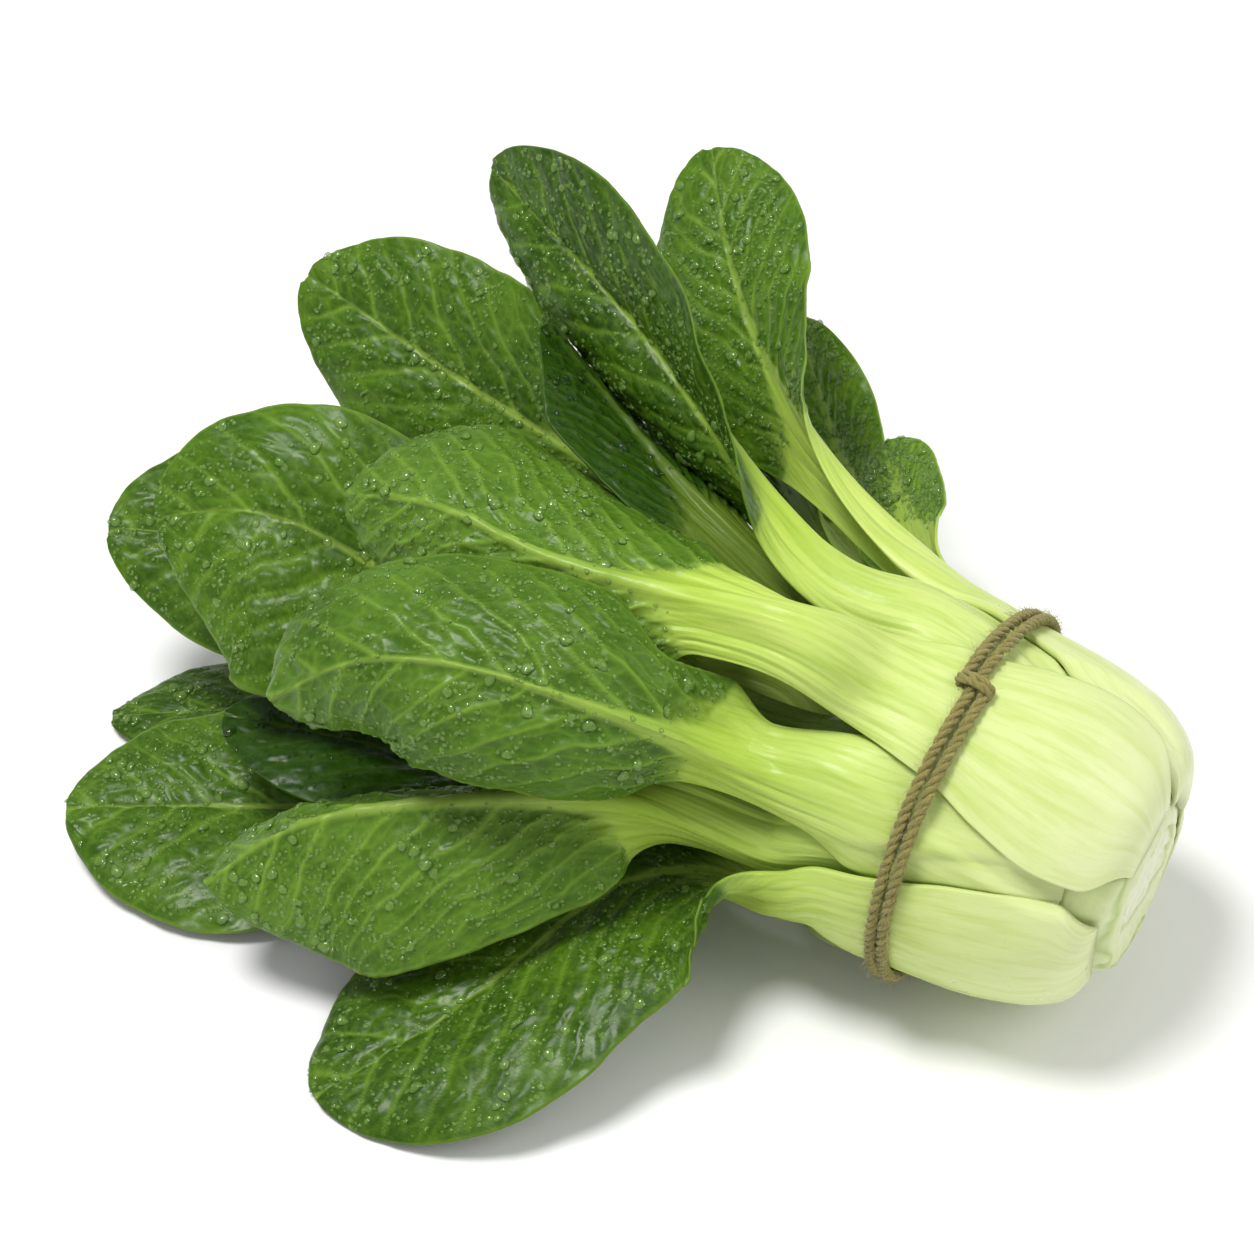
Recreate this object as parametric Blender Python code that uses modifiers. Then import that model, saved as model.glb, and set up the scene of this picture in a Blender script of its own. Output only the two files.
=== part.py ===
# Bok choy: a bunch of leaf stalks growing from one short stem, lying on its side
# and tied with two turns of jute twine. Units: metres, +Z up, floor at z = 0.
import bpy
import bmesh
import numpy as np
from math import radians, sin, cos, pi
from mathutils import Matrix

MM = 0.001

# ---- driving dimensions (mm) -----------------------------------------------------------
TIE_STATION = 41.0        # the twine's distance from the cut end, along the head's axis
TIE_HEIGHT = 40.0         # height of the head's axis at the twine
AXIS_PITCH = 4.0          # degrees the head's axis rises towards the leaves
STALK_GAP = 1.2           # clear space between nested stalks
TWINE_RADIUS = 1.15       # one strand
TWINE_PITCH = 2.6         # spacing of the twine's two turns
TWINE_CLEARANCE = 0.4     # between the twine and the stalks
STEM_RADIUS = 11.0        # the solid stem the leaves grow from
STEM_END = 32.0           # how far up the head the stem reaches
LEAF_ROWS = 18            # cells along a leaf
LEAF_CELLS = 8            # cells across a leaf
TIP_START = 0.60          # where a blade begins to round in to its tip, 0..1 of its free length
LAMINA = 1.0              # blade thickness
EDGE = 1.0                # stalk thickness at its edge

# outer radius of the head at stations along its axis
HEAD_STATIONS = (0, 3, 8, 15, 25, 41, 55, 80)
HEAD_RADII = (19.5, 25.5, 30, 33.4, 35.6, 37.2, 39.2, 44)
# stations at which each leaf's half-width round the head (degrees) is listed
SPAN_STATIONS = (0, 15, 30, 41, 60, 90)
# stalk thickness along the head, as a share of the leaf's own thickness
THICK_STATIONS = (0, 8, 20, 41, 90)
THICK_SHARE = (1.15, 1.1, 1.0, 0.9, 0.8)

# the fan's own frame: the leaves spread in a plane that leans back
FAN_TURN, FAN_LEAN = radians(30.0), radians(42.0)
ACROSS = np.array([cos(FAN_TURN), sin(FAN_TURN), 0.0])
UP = np.array([-sin(FAN_TURN) * sin(FAN_LEAN), cos(FAN_TURN) * sin(FAN_LEAN), cos(FAN_LEAN)])
OUT = np.array([sin(FAN_TURN) * cos(FAN_LEAN), -cos(FAN_TURN) * cos(FAN_LEAN), sin(FAN_LEAN)])

AXIS = np.array([-cos(radians(AXIS_PITCH)), 0.0, sin(radians(AXIS_PITCH))])   # towards the leaves
HEAD_UP = np.array([sin(radians(AXIS_PITCH)), 0.0, cos(radians(AXIS_PITCH))])
HEAD_FRONT = np.array([0.0, -1.0, 0.0])
TIE = np.array([0.0, 0.0, TIE_HEIGHT])
CUT = TIE - AXIS * TIE_STATION

# Each leaf, from the outermost in:
#   name, place round the head (degrees from the top, towards the front), where it starts along
#   the axis, stalk thickness, stalk half-width, midrib thickness where the blade begins,
#   half-widths round the head, and its free stations past the twine:
#   (across, up, out, roll, half-width left, half-width right,
#    section angle at the midrib and at the margin: left, then right)
LEAVES = [
    ('outer_leaf_1', 20, 1.5, 6.5, 9.5, 4.2, (38, 37, 30, 23, 18, 15), (
        (-34.6, 32.3, 31, 204, 9.5, 7.5, 0, 55, 0, 55),
        (-51.4, 38, 25, 200, 10, 11.5, 0, 45, 5, 55),
        (-69, 42.5, 21, 195, 17, 22, 0, 45, 15, 66),
        (-86.5, 48.5, 17, 190, 19, 29.5, 0, 50, 15, 64),
        (-103.9, 57, 10, 188, 21, 30, 0, 45, 10, 64),
        (-123.8, 60, -2, 188, 22, 24, 0, 40, 5, 60),
    )),
    ('outer_leaf_2', 103, 3.5, 4.9, 9.5, 4, (38, 37, 32, 26, 20, 16), (
        (-33.5, -20, 7, 104, 8, 8.5, 0, 50, 0, 50),
        (-46.5, -17, -4, 66, 8, 23, 5, 30, 5, 0),
        (-64, -16.5, -6, 54, 17, 33, 15, -10, 10, -15),
        (-84.1, -28.9, -2, 48, 25, 33, 18, -25, 18, -25),
        (-103, -43.2, 3.5, 44, 27, 32, 18, -25, 18, -25),
        (-129.5, -58.8, 7.8, 42, 24, 24, 10, -20, 10, -20),
    )),
    ('outer_leaf_5', 310, 1.5, 5.9, 9, 3.6, (38, 37, 30, 24, 18, 15), (
        (-8, 45, -9, 274, 8.5, 8.5, 0, 60, 0, 60),
        (-20.7, 58.9, -17, 280, 8, 8.5, 0, 55, 0, 55),
        (-32.4, 77.2, -28, 300, 11, 14, 5, 30, 5, 20),
        (-40.4, 95.9, -38, 322, 17, 23, 15, -10, 15, -15),
        (-45.8, 115.3, -48, 330, 20, 24, 15, -25, 15, -30),
        (-48.9, 138.9, -59, 335, 19, 18, 10, -20, 10, -20),
    )),
    ('outer_leaf_3', 178, 6, 5.7, 9, 4, (38, 37, 32, 26, 20, 16), (
        (-39.1, -9.7, -38, 46, 9, 9, 0, 50, 0, 50),
        (-73.4, -7.9, -40, 44, 9, 9, 0, 40, 0, 40),
        (-107.7, -6.5, -41.7, 40, 14, 15, 5, 20, 5, 20),
        (-132.9, -5, -41, 38, 25, 28, 15, -15, 15, -15),
        (-160.6, -4.5, -40, 36, 27, 33, 18, -22, 18, -22),
        (-187.5, -4.8, -41, 36, 24, 28, 10, -20, 10, -20),
    )),
    ('outer_leaf_4', 247, 1.5, 4.3, 9, 3.6, (38, 37, 32, 26, 20, 16), (
        (0.3, 37.1, -56, 330, 8.5, 8, 0, 50, 0, 50),
        (-9.9, 49.3, -70, 325, 9, 9, 0, 35, 0, 35),
        (-16.4, 65, -83, 320, 12, 13, 10, 10, 10, 10),
        (-22, 83.8, -90, 318, 14, 22, 15, -30, 15, -20),
        (-28.2, 104.8, -95, 318, 12, 22, 10, -20, 10, -20),
    )),
    ('second_leaf_1', 58, 10, 6.5, 9.5, 4.2, (36, 36, 31, 26, 21, 17), (
        (-41.9, 6.6, 21, 168, 8, 9, 0, 50, 0, 50),
        (-52.6, 10.6, 24, 168, 10, 14.5, 0, 50, 0, 45),
        (-63.2, 14.5, 32, 168, 18, 14, -20, 55, 5, 50),
        (-79.2, 20.3, 36, 172, 23, 26, -25, 55, 10, 60),
        (-98.2, 25.9, 33, 176, 24, 27, -25, 55, 10, 65),
        (-116.6, 27.5, 28, 178, 23, 24, -10, 60, 10, 65),
        (-136.7, 19.5, 14, 180, 20, 20, 0, 50, 5, 60),
    )),
    ('second_leaf_2', 132, 8.5, 3.6, 8.5, 3.4, (36, 36, 31, 26, 20, 16), (
        (-35.7, -10.7, -15, 80, 7, 7.5, 0, 50, 0, 50),
        (-61.7, -3.1, -22.1, 72, 8.5, 8.5, 0, 35, 0, 35),
        (-92.7, 1.4, -31.8, 60, 15, 15, 10, -5, 10, -5),
        (-123.5, 9.5, -29, 50, 20, 20, 15, -20, 15, -20),
        (-152.4, 15.4, -32, 48, 16, 15.5, 10, -20, 10, -20),
    )),
    ('second_leaf_3', 215, 7.5, 5.4, 8, 3.2, (36, 36, 31, 26, 20, 16), (
        (-28.8, 12.7, -56, 36, 8, 8, 0, 50, 0, 50),
        (-50.3, 25.4, -72.3, 42, 12, 12, 5, 20, 5, 20),
        (-68.5, 38.4, -94.4, 46, 21, 21, 12, -12, 12, -12),
        (-94.1, 56, -111.3, 48, 17, 17, 10, -15, 10, -15),
    )),
    ('second_leaf_4', 274, 9, 5.8, 8, 3, (36, 36, 31, 24, 18, 15), (
        (3.9, 35.4, -32, 300, 7, 7, 0, 50, 0, 50),
        (-1.7, 46.1, -48, 312, 8, 8, 0, 35, 0, 35),
        (-6.1, 58.5, -60, 322, 13, 13, 10, 10, 10, 10),
        (-9.8, 75.4, -74, 326, 12, 14, 10, -20, 10, -20),
    )),
    ('second_leaf_5', 343, 10.5, 6.1, 9.5, 4, (36, 36, 30, 24, 19, 16), (
        (-23.6, 41.7, 8, 242, 9.5, 9.5, 0, 50, 0, 50),
        (-36.9, 53.4, 5, 258, 12, 11, 0, 35, 0, 45),
        (-48.6, 70.2, 0, 285, 17, 19, 10, 10, 40, -40),
        (-62.5, 90.9, -8, 305, 22, 25, 15, 0, 55, -75),
        (-77.9, 109.8, -18, 312, 22, 24, 15, -10, 50, -70),
        (-96, 130.5, -32, 316, 17, 17, 10, -10, 30, -40),
    )),
    ('third_leaf_1', 86, 10, 5.5, 8.5, 3.8, (34, 34, 29, 23, 18, 15), (
        (-37.4, -9.8, 8, 144, 7.5, 8, 0, 50, 0, 50),
        (-55.2, -3.8, 10, 160, 8, 8.5, 0, 45, 0, 45),
        (-72.9, -0.2, 12, 185, 16, 10, 0, 30, 40, 80),
        (-92.6, -0.7, 9, 196, 27, 19, 5, 35, 50, 95),
        (-116.4, -2.4, 7, 198, 33, 21.5, 5, 35, 50, 95),
        (-134.5, -6.9, 4, 198, 34, 22, 5, 35, 45, 90),
        (-151.5, -17.9, -1, 198, 30, 20, 5, 30, 30, 70),
    )),
    ('third_leaf_2', 160, 12, 5.1, 8, 3.6, (34, 34, 29, 23, 18, 15), (
        (-33.3, 18.9, -8, -4, 7.5, 8, 0, 50, 0, 50),
        (-64.9, 26.5, -15, 0, 9, 9, 0, 40, 0, 40),
        (-93.7, 34.7, -14, 4, 14, 18, 8, 15, 8, 15),
        (-117.6, 45.2, -20, 6, 26, 33, 15, -12, 15, -12),
        (-141.9, 57.1, -22, 8, 28, 38, 18, -22, 18, -22),
        (-166.2, 56.7, -29, 8, 25, 33, 10, -20, 10, -20),
    )),
    ('third_leaf_3', 198, 12, 5.1, 8, 3.2, (34, 34, 29, 23, 18, 15), (
        (-34.9, 14.8, -41, 40, 7.5, 7.5, 0, 50, 0, 50),
        (-75.7, 14.8, -56, 46, 9, 9, 0, 35, 0, 35),
        (-118, 14.3, -64, 50, 16, 16, 10, -5, 10, -5),
        (-151.7, 15.3, -71, 50, 22, 22, 15, -20, 15, -20),
        (-183, 13.7, -72.3, 48, 17, 17, 10, -20, 10, -20),
    )),
    ('third_leaf_4', 236, 12, 5.5, 8, 3.4, (34, 34, 29, 23, 18, 15), (
        (-37.6, 18.9, -28, 10, 8, 8, 0, 50, 0, 50),
        (-77.7, 33.2, -42, 14, 9, 9, 0, 35, 0, 35),
        (-121.2, 44.4, -50, 16, 20, 20, 10, -5, 10, -5),
        (-152.1, 52.4, -54, 14, 30, 28, 15, -20, 15, -20),
        (-181.1, 55.5, -56, 12, 25, 24, 10, -20, 10, -20),
    )),
    ('third_leaf_5', 320, 15, 5.5, 8, 3.4, (34, 34, 29, 23, 18, 15), (
        (-27.5, 39.4, -17, -60, 8, 8, 0, 50, 0, 50),
        (-52.4, 54.1, -26, -50, 8.5, 8.5, 0, 40, 0, 40),
        (-73.3, 68.2, -36, -36, 13.5, 14, 8, 15, 8, 15),
        (-95, 81.7, -47, -22, 25.5, 25, 15, -12, 15, -12),
        (-115.1, 95.5, -56, -16, 26, 26, 18, -22, 18, -22),
        (-138.1, 111.9, -64, -14, 22, 22, 10, -20, 10, -20),
    )),
    ('third_leaf_6', 12, 16.5, 4.4, 8, 3, (34, 34, 29, 23, 18, 15), (
        (-23.5, 28.9, 7, 212, 6.5, 6.5, 0, 50, 0, 50),
        (-45, 49.2, 1, 222, 7.5, 9.6, 0, 40, 0, 40),
        (-58.4, 63.6, -6, 235, 13.5, 15.1, 5, 20, 5, 20),
        (-73.2, 81.5, -16, 245, 17, 18.6, 5, 30, 5, 30),
        (-84.7, 95.6, -16, 250, 12, 13.6, 5, 30, 5, 30),
    )),
    ('heart_leaf_1', 49, 16, 4.3, 7.5, 3, (32, 32, 27, 21, 17, 14), (
        (-33.5, 10.5, 9, 184, 7.5, 7.5, 0, 50, 0, 50),
        (-55.1, 19.3, 4, 186, 8, 8, 0, 40, 0, 40),
        (-75, 31.2, 0, 190, 14, 14, 5, 30, 5, 30),
        (-95.2, 39.2, -4, 190, 17, 17, 5, 40, 5, 40),
        (-113.8, 45.4, -7, 190, 14, 14, 5, 40, 5, 40),
    )),
    ('heart_leaf_2', 277, 17, 4.5, 7.5, 3, (30, 30, 26, 20, 16, 14), (
        (-10.8, 34.8, -24, 280, 7, 7, 0, 50, 0, 50),
        (-22.6, 48, -34, 290, 7.5, 7.5, 0, 40, 0, 40),
        (-33.6, 65.4, -45, 310, 12, 11, 5, 10, 5, 10),
        (-42.4, 83.6, -57, 325, 14, 14, 5, -10, 5, -10),
        (-50.2, 101.1, -68, 335, 11, 11, 5, -10, 5, -10),
    )),
]

GREEN = {
    'outer': (0.20, 0.36, 0.07, 1.0), 'second': (0.18, 0.34, 0.06, 1.0),
    'third': (0.15, 0.30, 0.05, 1.0), 'heart': (0.12, 0.26, 0.04, 1.0),
}


# ---- curves ----------------------------------------------------------------------------
def spline(t, points, at):
    """Natural cubic spline through points at t."""
    n = len(t)
    h = np.diff(t)
    a = np.zeros((n, n))
    b = np.zeros((n, points.shape[1]))
    a[0, 0] = a[-1, -1] = 1
    for i in range(1, n - 1):
        a[i, i - 1], a[i, i], a[i, i + 1] = h[i - 1], 2 * (h[i - 1] + h[i]), h[i]
        b[i] = 6 * ((points[i + 1] - points[i]) / h[i] - (points[i] - points[i - 1]) / h[i - 1])
    m = np.linalg.solve(a, b)
    k = np.clip(np.searchsorted(t, at, side='right') - 1, 0, n - 2)
    hk = h[k][:, None]
    d0 = (at - t[k])[:, None]
    d1 = (t[k + 1] - at)[:, None]
    return ((m[k] * d1 ** 3 + m[k + 1] * d0 ** 3) / (6 * hk)
            + (points[k] / hk - m[k] * hk / 6) * d1 + (points[k + 1] / hk - m[k + 1] * hk / 6) * d0)


def ease(t, y, at):
    """Monotone cubic through scalars."""
    t = np.asarray(t, float)
    y = np.asarray(y, float)
    at = np.asarray(at, float)
    h = np.diff(t)
    d = np.diff(y) / h
    m = np.zeros(len(t))
    m[0], m[-1] = d[0], d[-1]
    for i in range(1, len(t) - 1):
        m[i] = 0 if d[i - 1] * d[i] <= 0 else 2 * d[i - 1] * d[i] / (d[i - 1] + d[i])
    k = np.clip(np.searchsorted(t, at, side='right') - 1, 0, len(t) - 2)
    x = np.clip((at - t[k]) / h[k], 0, 1)
    return ((2 * x ** 3 - 3 * x ** 2 + 1) * y[k] + (x ** 3 - 2 * x ** 2 + x) * h[k] * m[k]
            + (-2 * x ** 3 + 3 * x ** 2) * y[k + 1] + (x ** 3 - x ** 2) * h[k] * m[k + 1])


def step(x, a, b):
    x = np.clip((np.asarray(x, float) - a) / (b - a), 0, 1)
    return x * x * (3 - 2 * x)


# ---- the nested stalks -----------------------------------------------------------------
def head_radius(s):
    return ease(HEAD_STATIONS, HEAD_RADII, s)


def half_span(leaf, s):
    return ease(SPAN_STATIONS, leaf['span'], s)


def stalk(leaf, th, s):
    """Thickness of a leaf's stalk at angle th round the head and station s."""
    d = np.abs((th - leaf['angle'] + 180) % 360 - 180)
    w = half_span(leaf, s)
    thick = leaf['thick'] * ease(THICK_STATIONS, THICK_SHARE, s)
    body = thick * np.clip(1 - (d / w) ** 2, 0, 1) ** 0.8
    edge = EDGE * (1 - step(d, w, w + 14))
    return (body + edge) * step(s, leaf['start'] - 6, leaf['start'])


def nest_radius(order, th, s):
    """Outer radius left for leaf number order, inside all the leaves before it."""
    r = head_radius(s) + 0.0 * np.asarray(th, float)
    for leaf in LEAF_LIST[:order]:
        c = stalk(leaf, th, s)
        r = r - c - STALK_GAP * (c > 1e-6) * np.clip(c / 0.3, 0, 1)
    return r


def radial(th):
    th = np.radians(np.asarray(th, float))
    return np.cos(th)[..., None] * HEAD_UP + np.sin(th)[..., None] * HEAD_FRONT


def fan_point(p):
    return TIE + p[0] * ACROSS + p[1] * UP + p[2] * OUT


def leaf_surfaces(order):
    """Inner and outer face of a leaf as grids of points, base to tip and margin to margin."""
    leaf = LEAF_LIST[order]
    st = leaf['stations']
    here = np.array([leaf['angle']], float)
    inner = []
    for s in (leaf['start'], (leaf['start'] + 26) / 2, 26, TIE_STATION, 54):
        r = nest_radius(order, here, s)[0] - stalk(leaf, here, s)[0]
        inner.append(CUT + AXIS * s + radial(here)[0] * r)
    rib = np.array(inner + [fan_point(q[0:3]) for q in st])
    t = np.concatenate([[0], np.cumsum(np.linalg.norm(np.diff(rib, axis=0), axis=1))])
    end, t_in, t_free = t[-1], t[4], t[5:]
    x = np.linspace(0, 1, LEAF_ROWS + 1)
    u = end * np.where(x < 0.7, x * 0.78 / 0.7, 0.78 + 0.22 * np.sin((x - 0.7) / 0.3 * pi / 2))
    mid = spline(t, rib, u)
    tan = spline(t, rib, np.clip(u + end * 1e-3, 0, end)) - spline(t, rib, np.clip(u - end * 1e-3, 0, end))
    tan /= np.linalg.norm(tan, axis=1)[:, None]

    def along(i, base):
        return ease(np.concatenate([[0, t_in], t_free]), np.concatenate([[base, base], [q[i] for q in st]]), u)

    # the inner face looks at the axis in the head, and turns to each station's roll after it
    n0 = OUT - (AXIS @ OUT) * AXIS
    n0 /= np.linalg.norm(n0)
    b0 = np.cross(AXIS, n0)
    face = -radial(here)[0]
    roll0 = np.degrees(np.arctan2(b0 @ face, n0 @ face))
    roll0 += 360 * round((st[0][3] - roll0) / 360)
    roll = np.radians(along(3, roll0))[:, None]
    n1 = OUT - (tan @ OUT)[:, None] * tan
    n1 /= np.linalg.norm(n1, axis=1)[:, None]
    nor = n1 * np.cos(roll) + np.cross(tan, n1) * np.sin(roll)
    bi = np.cross(tan, nor)

    wl, wr = along(4, leaf['half_width']), along(5, leaf['half_width'])
    l0, l1, r0, r1 = along(6, 5.0), along(7, 60.0), along(8, 5.0), along(9, 60.0)
    tip = np.clip(((u - t_free[0]) / (end - t_free[0]) - TIP_START) / (1 - TIP_START), 0, 1)
    tip = np.sqrt(np.clip(1 - (tip * 0.996) ** 2.8, 0, 1))
    wl, wr = wl * tip, wr * tip

    v = np.linspace(-1, 1, LEAF_CELLS + 1)
    q = np.linspace(0, 1, 25)
    face_in = np.zeros((len(u), len(v), 3))
    guide = np.zeros_like(face_in)
    for i in range(len(u)):
        for side, w, a0, a1 in ((1, wl[i], l0[i], l1[i]), (-1, wr[i], r0[i], r1[i])):
            al = np.radians(a0 + (a1 - a0) * q)
            bb = np.concatenate([[0], np.cumsum((np.cos(al)[1:] + np.cos(al)[:-1]) / 48)]) * w
            nn = np.concatenate([[0], np.cumsum((np.sin(al)[1:] + np.sin(al)[:-1]) / 48)]) * w
            for j, vj in enumerate(v):
                if (vj > 0) == (side > 0) or (vj == 0 and side > 0):
                    a = np.radians(a0 + (a1 - a0) * abs(vj))
                    face_in[i, j] = mid[i] + bi[i] * np.interp(abs(vj), q, bb) * side + nor[i] * np.interp(abs(vj), q, nn)
                    guide[i, j] = nor[i] * np.cos(a) - bi[i] * side * np.sin(a)
    out = np.cross(np.gradient(face_in, axis=1), np.gradient(face_in, axis=0))
    size = np.linalg.norm(out, axis=2, keepdims=True)
    out = np.where(size > 1e-9, out / np.maximum(size, 1e-9), guide)
    out = out * np.where((out * guide).sum(2, keepdims=True) < 0, -1.0, 1.0)

    # thickness: a crescent stalk that turns into a thin blade with a midrib
    thick = leaf['thick']
    rib_t = ease([0, t_in, t_free[0], (t_free[0] + end) / 2, end], [thick, thick * 0.8, leaf['rib'], 1.6, 0.3], u)
    blade = step(u, t_free[0] - 0.25 * (t_free[0] - t_in) - 4, t_free[0] + 0.12 * (end - t_free[0]))[:, None]
    V = np.abs(v)[None, :]
    stem_t = rib_t[:, None] * np.clip(1 - V ** 2, 0, 1) ** 0.7 + 1.0
    far = V * np.where(v[None, :] >= 0, wl[:, None], wr[:, None])
    thin = LAMINA * (1 - 0.35 * V ** 4) + rib_t[:, None] * np.exp(-(far / np.maximum(1.2, rib_t * 0.75)[:, None]) ** 2)
    face_out = face_in - out * (stem_t * (1 - blade) + thin * blade)[..., None]

    # inside the head the stalk follows its place in the nest
    s_mid = (mid - CUT) @ AXIS
    share = 1 - step(s_mid, 46, 72)
    for i in range(len(u)):
        if share[i] > 0:
            s = s_mid[i]
            th = leaf['angle'] + v * half_span(leaf, s)
            r = nest_radius(order, th, s)
            rd = radial(th)
            o = CUT + AXIS * s + rd * r[:, None]
            n = CUT + AXIS * s + rd * (r - np.maximum(stalk(leaf, th, s), 0.9))[:, None]
            if bi[i] @ (radial(here + 1)[0] - radial(here - 1)[0]) < 0:
                o, n = o[::-1], n[::-1]
            face_in[i] = n * share[i] + face_in[i] * (1 - share[i])
            face_out[i] = o * share[i] + face_out[i] * (1 - share[i])
    return face_in, face_out


def closed_shell(a, b):
    """Quads of the two faces, the margins and both ends."""
    nu, nv = a.shape[0], a.shape[1]
    verts = np.concatenate([a.reshape(-1, 3), b.reshape(-1, 3)])
    o = nu * nv
    faces = []
    for i in range(nu - 1):
        for j in range(nv - 1):
            p, q, r, s = i * nv + j, i * nv + j + 1, (i + 1) * nv + j + 1, (i + 1) * nv + j
            faces += [(p, q, r, s), (p + o, s + o, r + o, q + o)]
        p, s = i * nv, (i + 1) * nv
        faces.append((p, s, s + o, p + o))
        p, s = p + nv - 1, s + nv - 1
        faces.append((s, p, p + o, s + o))
    for j in range(nv - 1):
        faces.append((j + 1, j, j + o, j + 1 + o))
        p = (nu - 1) * nv + j
        faces.append((p, p + 1, p + 1 + o, p + o))
    return verts, faces


# ---- scene -----------------------------------------------------------------------------
for ob in list(bpy.data.objects):
    bpy.data.objects.remove(ob, do_unlink=True)
bunch = bpy.data.collections.new('bok_choy')
bpy.context.scene.collection.children.link(bunch)


def add_material(ob, colour, roughness):
    mat = bpy.data.materials.new(ob.name)
    mat.use_nodes = True
    bsdf = mat.node_tree.nodes['Principled BSDF']
    bsdf.inputs['Base Color'].default_value = colour
    bsdf.inputs['Roughness'].default_value = roughness
    ob.data.materials.append(mat)


def add_mesh(name, verts, faces, colour, roughness):
    me = bpy.data.meshes.new(name)
    me.from_pydata([tuple(p) for p in verts], [], faces)
    bm = bmesh.new()
    bm.from_mesh(me)
    bmesh.ops.recalc_face_normals(bm, faces=bm.faces)
    bm.to_mesh(me)
    bm.free()
    ob = bpy.data.objects.new(name, me)
    bunch.objects.link(ob)
    add_material(ob, colour, roughness)
    return ob


LEAF_LIST = [dict(name=r[0], angle=r[1], start=r[2], thick=r[3], half_width=r[4], rib=r[5], span=r[6], stations=r[7])
             for r in LEAVES]


# the twine's path: two turns side by side, then its end crosses both and lies along the stalk
def twine_path():
    ring = float(head_radius(TIE_STATION)) + TWINE_CLEARANCE + TWINE_RADIUS
    start = 9.0
    pts = []
    for phi in np.linspace(-10, 718, 122):
        off = -2 * TWINE_PITCH / 2 - 0.0
        off = (-TWINE_PITCH + TWINE_PITCH / 2 * step(phi, 0, 50) + TWINE_PITCH * step(phi, 310, 410)
               + TWINE_PITCH / 2 * step(phi, 670, 718)) - 0.06 * max(0.0, -phi)
        r = ring + 0.25 * (head_radius(TIE_STATION + abs(off)) - head_radius(TIE_STATION))
        pts.append((phi, off, r))
    for phi, off, lift in ((721, 3.0, 0.9), (723, 2.5, 2.3), (725, 1.4, 2.9), (727, 0.0, 3.0), (729, -1.5, 3.0),
                           (731, -3.0, 2.9), (732.5, -4.3, 2.3), (733.5, -5.0, 1.2)):
        pts.append((phi, off, ring + lift))
    return [CUT + AXIS * (TIE_STATION + off) + radial(np.array([start + phi]))[0] * r for phi, off, r in pts]


# every point in mm first, so the row's origin can be put under the middle of the whole bunch
meshes = []
for k, leaf in enumerate(LEAF_LIST):
    meshes.append((leaf['name'], closed_shell(*leaf_surfaces(k))))
twine = twine_path()
cloud = np.concatenate([m[1][0] for m in meshes])
low, high = cloud.min(0), cloud.max(0)
floor = min(low[2], min(p[2] for p in twine) - TWINE_RADIUS)
ORIGIN = np.array([(low[0] + high[0]) / 2, (low[1] + high[1]) / 2, floor])

for name, (verts, faces) in meshes:
    add_mesh(name, (verts - ORIGIN) * MM, faces, GREEN[name.split('_')[0]], 0.4)


# stem: a turned core that fills the middle of the nested stalks and ends in a dome
def core_radius(s):
    th = np.arange(0.0, 360.0, 2.0)
    room = min(float(np.min(nest_radius(len(LEAF_LIST), th, s2))) for s2 in (max(0.0, s - 1.5), s, s + 1.5))
    return min(STEM_RADIUS, room - STALK_GAP) * min(1.0, 0.2 + (STEM_END - s) / 14)


stations = [0.6, 1.2, 3, 6, 9, 12, 15, 18, 21, 24, 27, 30, STEM_END]
outline = [(core_radius(s), s) for s in stations]
outline[0] = (outline[0][0] - 0.8, stations[0])
profile = [(0.0, STEM_END)] + [(r, s) for r, s in reversed(outline)] + [(0.0, stations[0])]
me = bpy.data.meshes.new('stem')
me.from_pydata([(r * MM, 0.0, s * MM) for r, s in profile], [(i, i + 1) for i in range(len(profile) - 1)], [])
stem = bpy.data.objects.new('stem', me)
bunch.objects.link(stem)
stem.matrix_world = Matrix((
    (HEAD_UP[0], HEAD_FRONT[0], AXIS[0], (CUT[0] - ORIGIN[0]) * MM),
    (HEAD_UP[1], HEAD_FRONT[1], AXIS[1], (CUT[1] - ORIGIN[1]) * MM),
    (HEAD_UP[2], HEAD_FRONT[2], AXIS[2], (CUT[2] - ORIGIN[2]) * MM),
    (0, 0, 0, 1)))
turn = stem.modifiers.new('turn', 'SCREW')
turn.axis = 'Z'
turn.angle = 2 * pi
turn.steps = turn.render_steps = 24
turn.use_merge_vertices = True
turn.merge_threshold = 0.00005
turn.use_normal_calculate = True
add_material(stem, (0.78, 0.85, 0.60, 1.0), 0.5)

# twine
cu = bpy.data.curves.new('twine', 'CURVE')
cu.dimensions = '3D'
cu.bevel_depth = TWINE_RADIUS * MM
cu.bevel_resolution = 2
cu.use_fill_caps = True
cu.twist_mode = 'MINIMUM'
line = cu.splines.new('POLY')
line.points.add(len(twine) - 1)
for point, p in zip(line.points, twine):
    point.co = ((p[0] - ORIGIN[0]) * MM, (p[1] - ORIGIN[1]) * MM, (p[2] - ORIGIN[2]) * MM, 1.0)
cord = bpy.data.objects.new('twine', cu)
bunch.objects.link(cord)
add_material(cord, (0.36, 0.27, 0.14, 1.0), 0.9)
print('ORIGIN', ORIGIN)
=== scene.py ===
# Bok choy, visual model. Units in the helpers are millimetres; meshes are made in metres.
import bpy
import numpy as np
from math import radians, sin, cos, pi
from mathutils import Vector, Matrix


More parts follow.
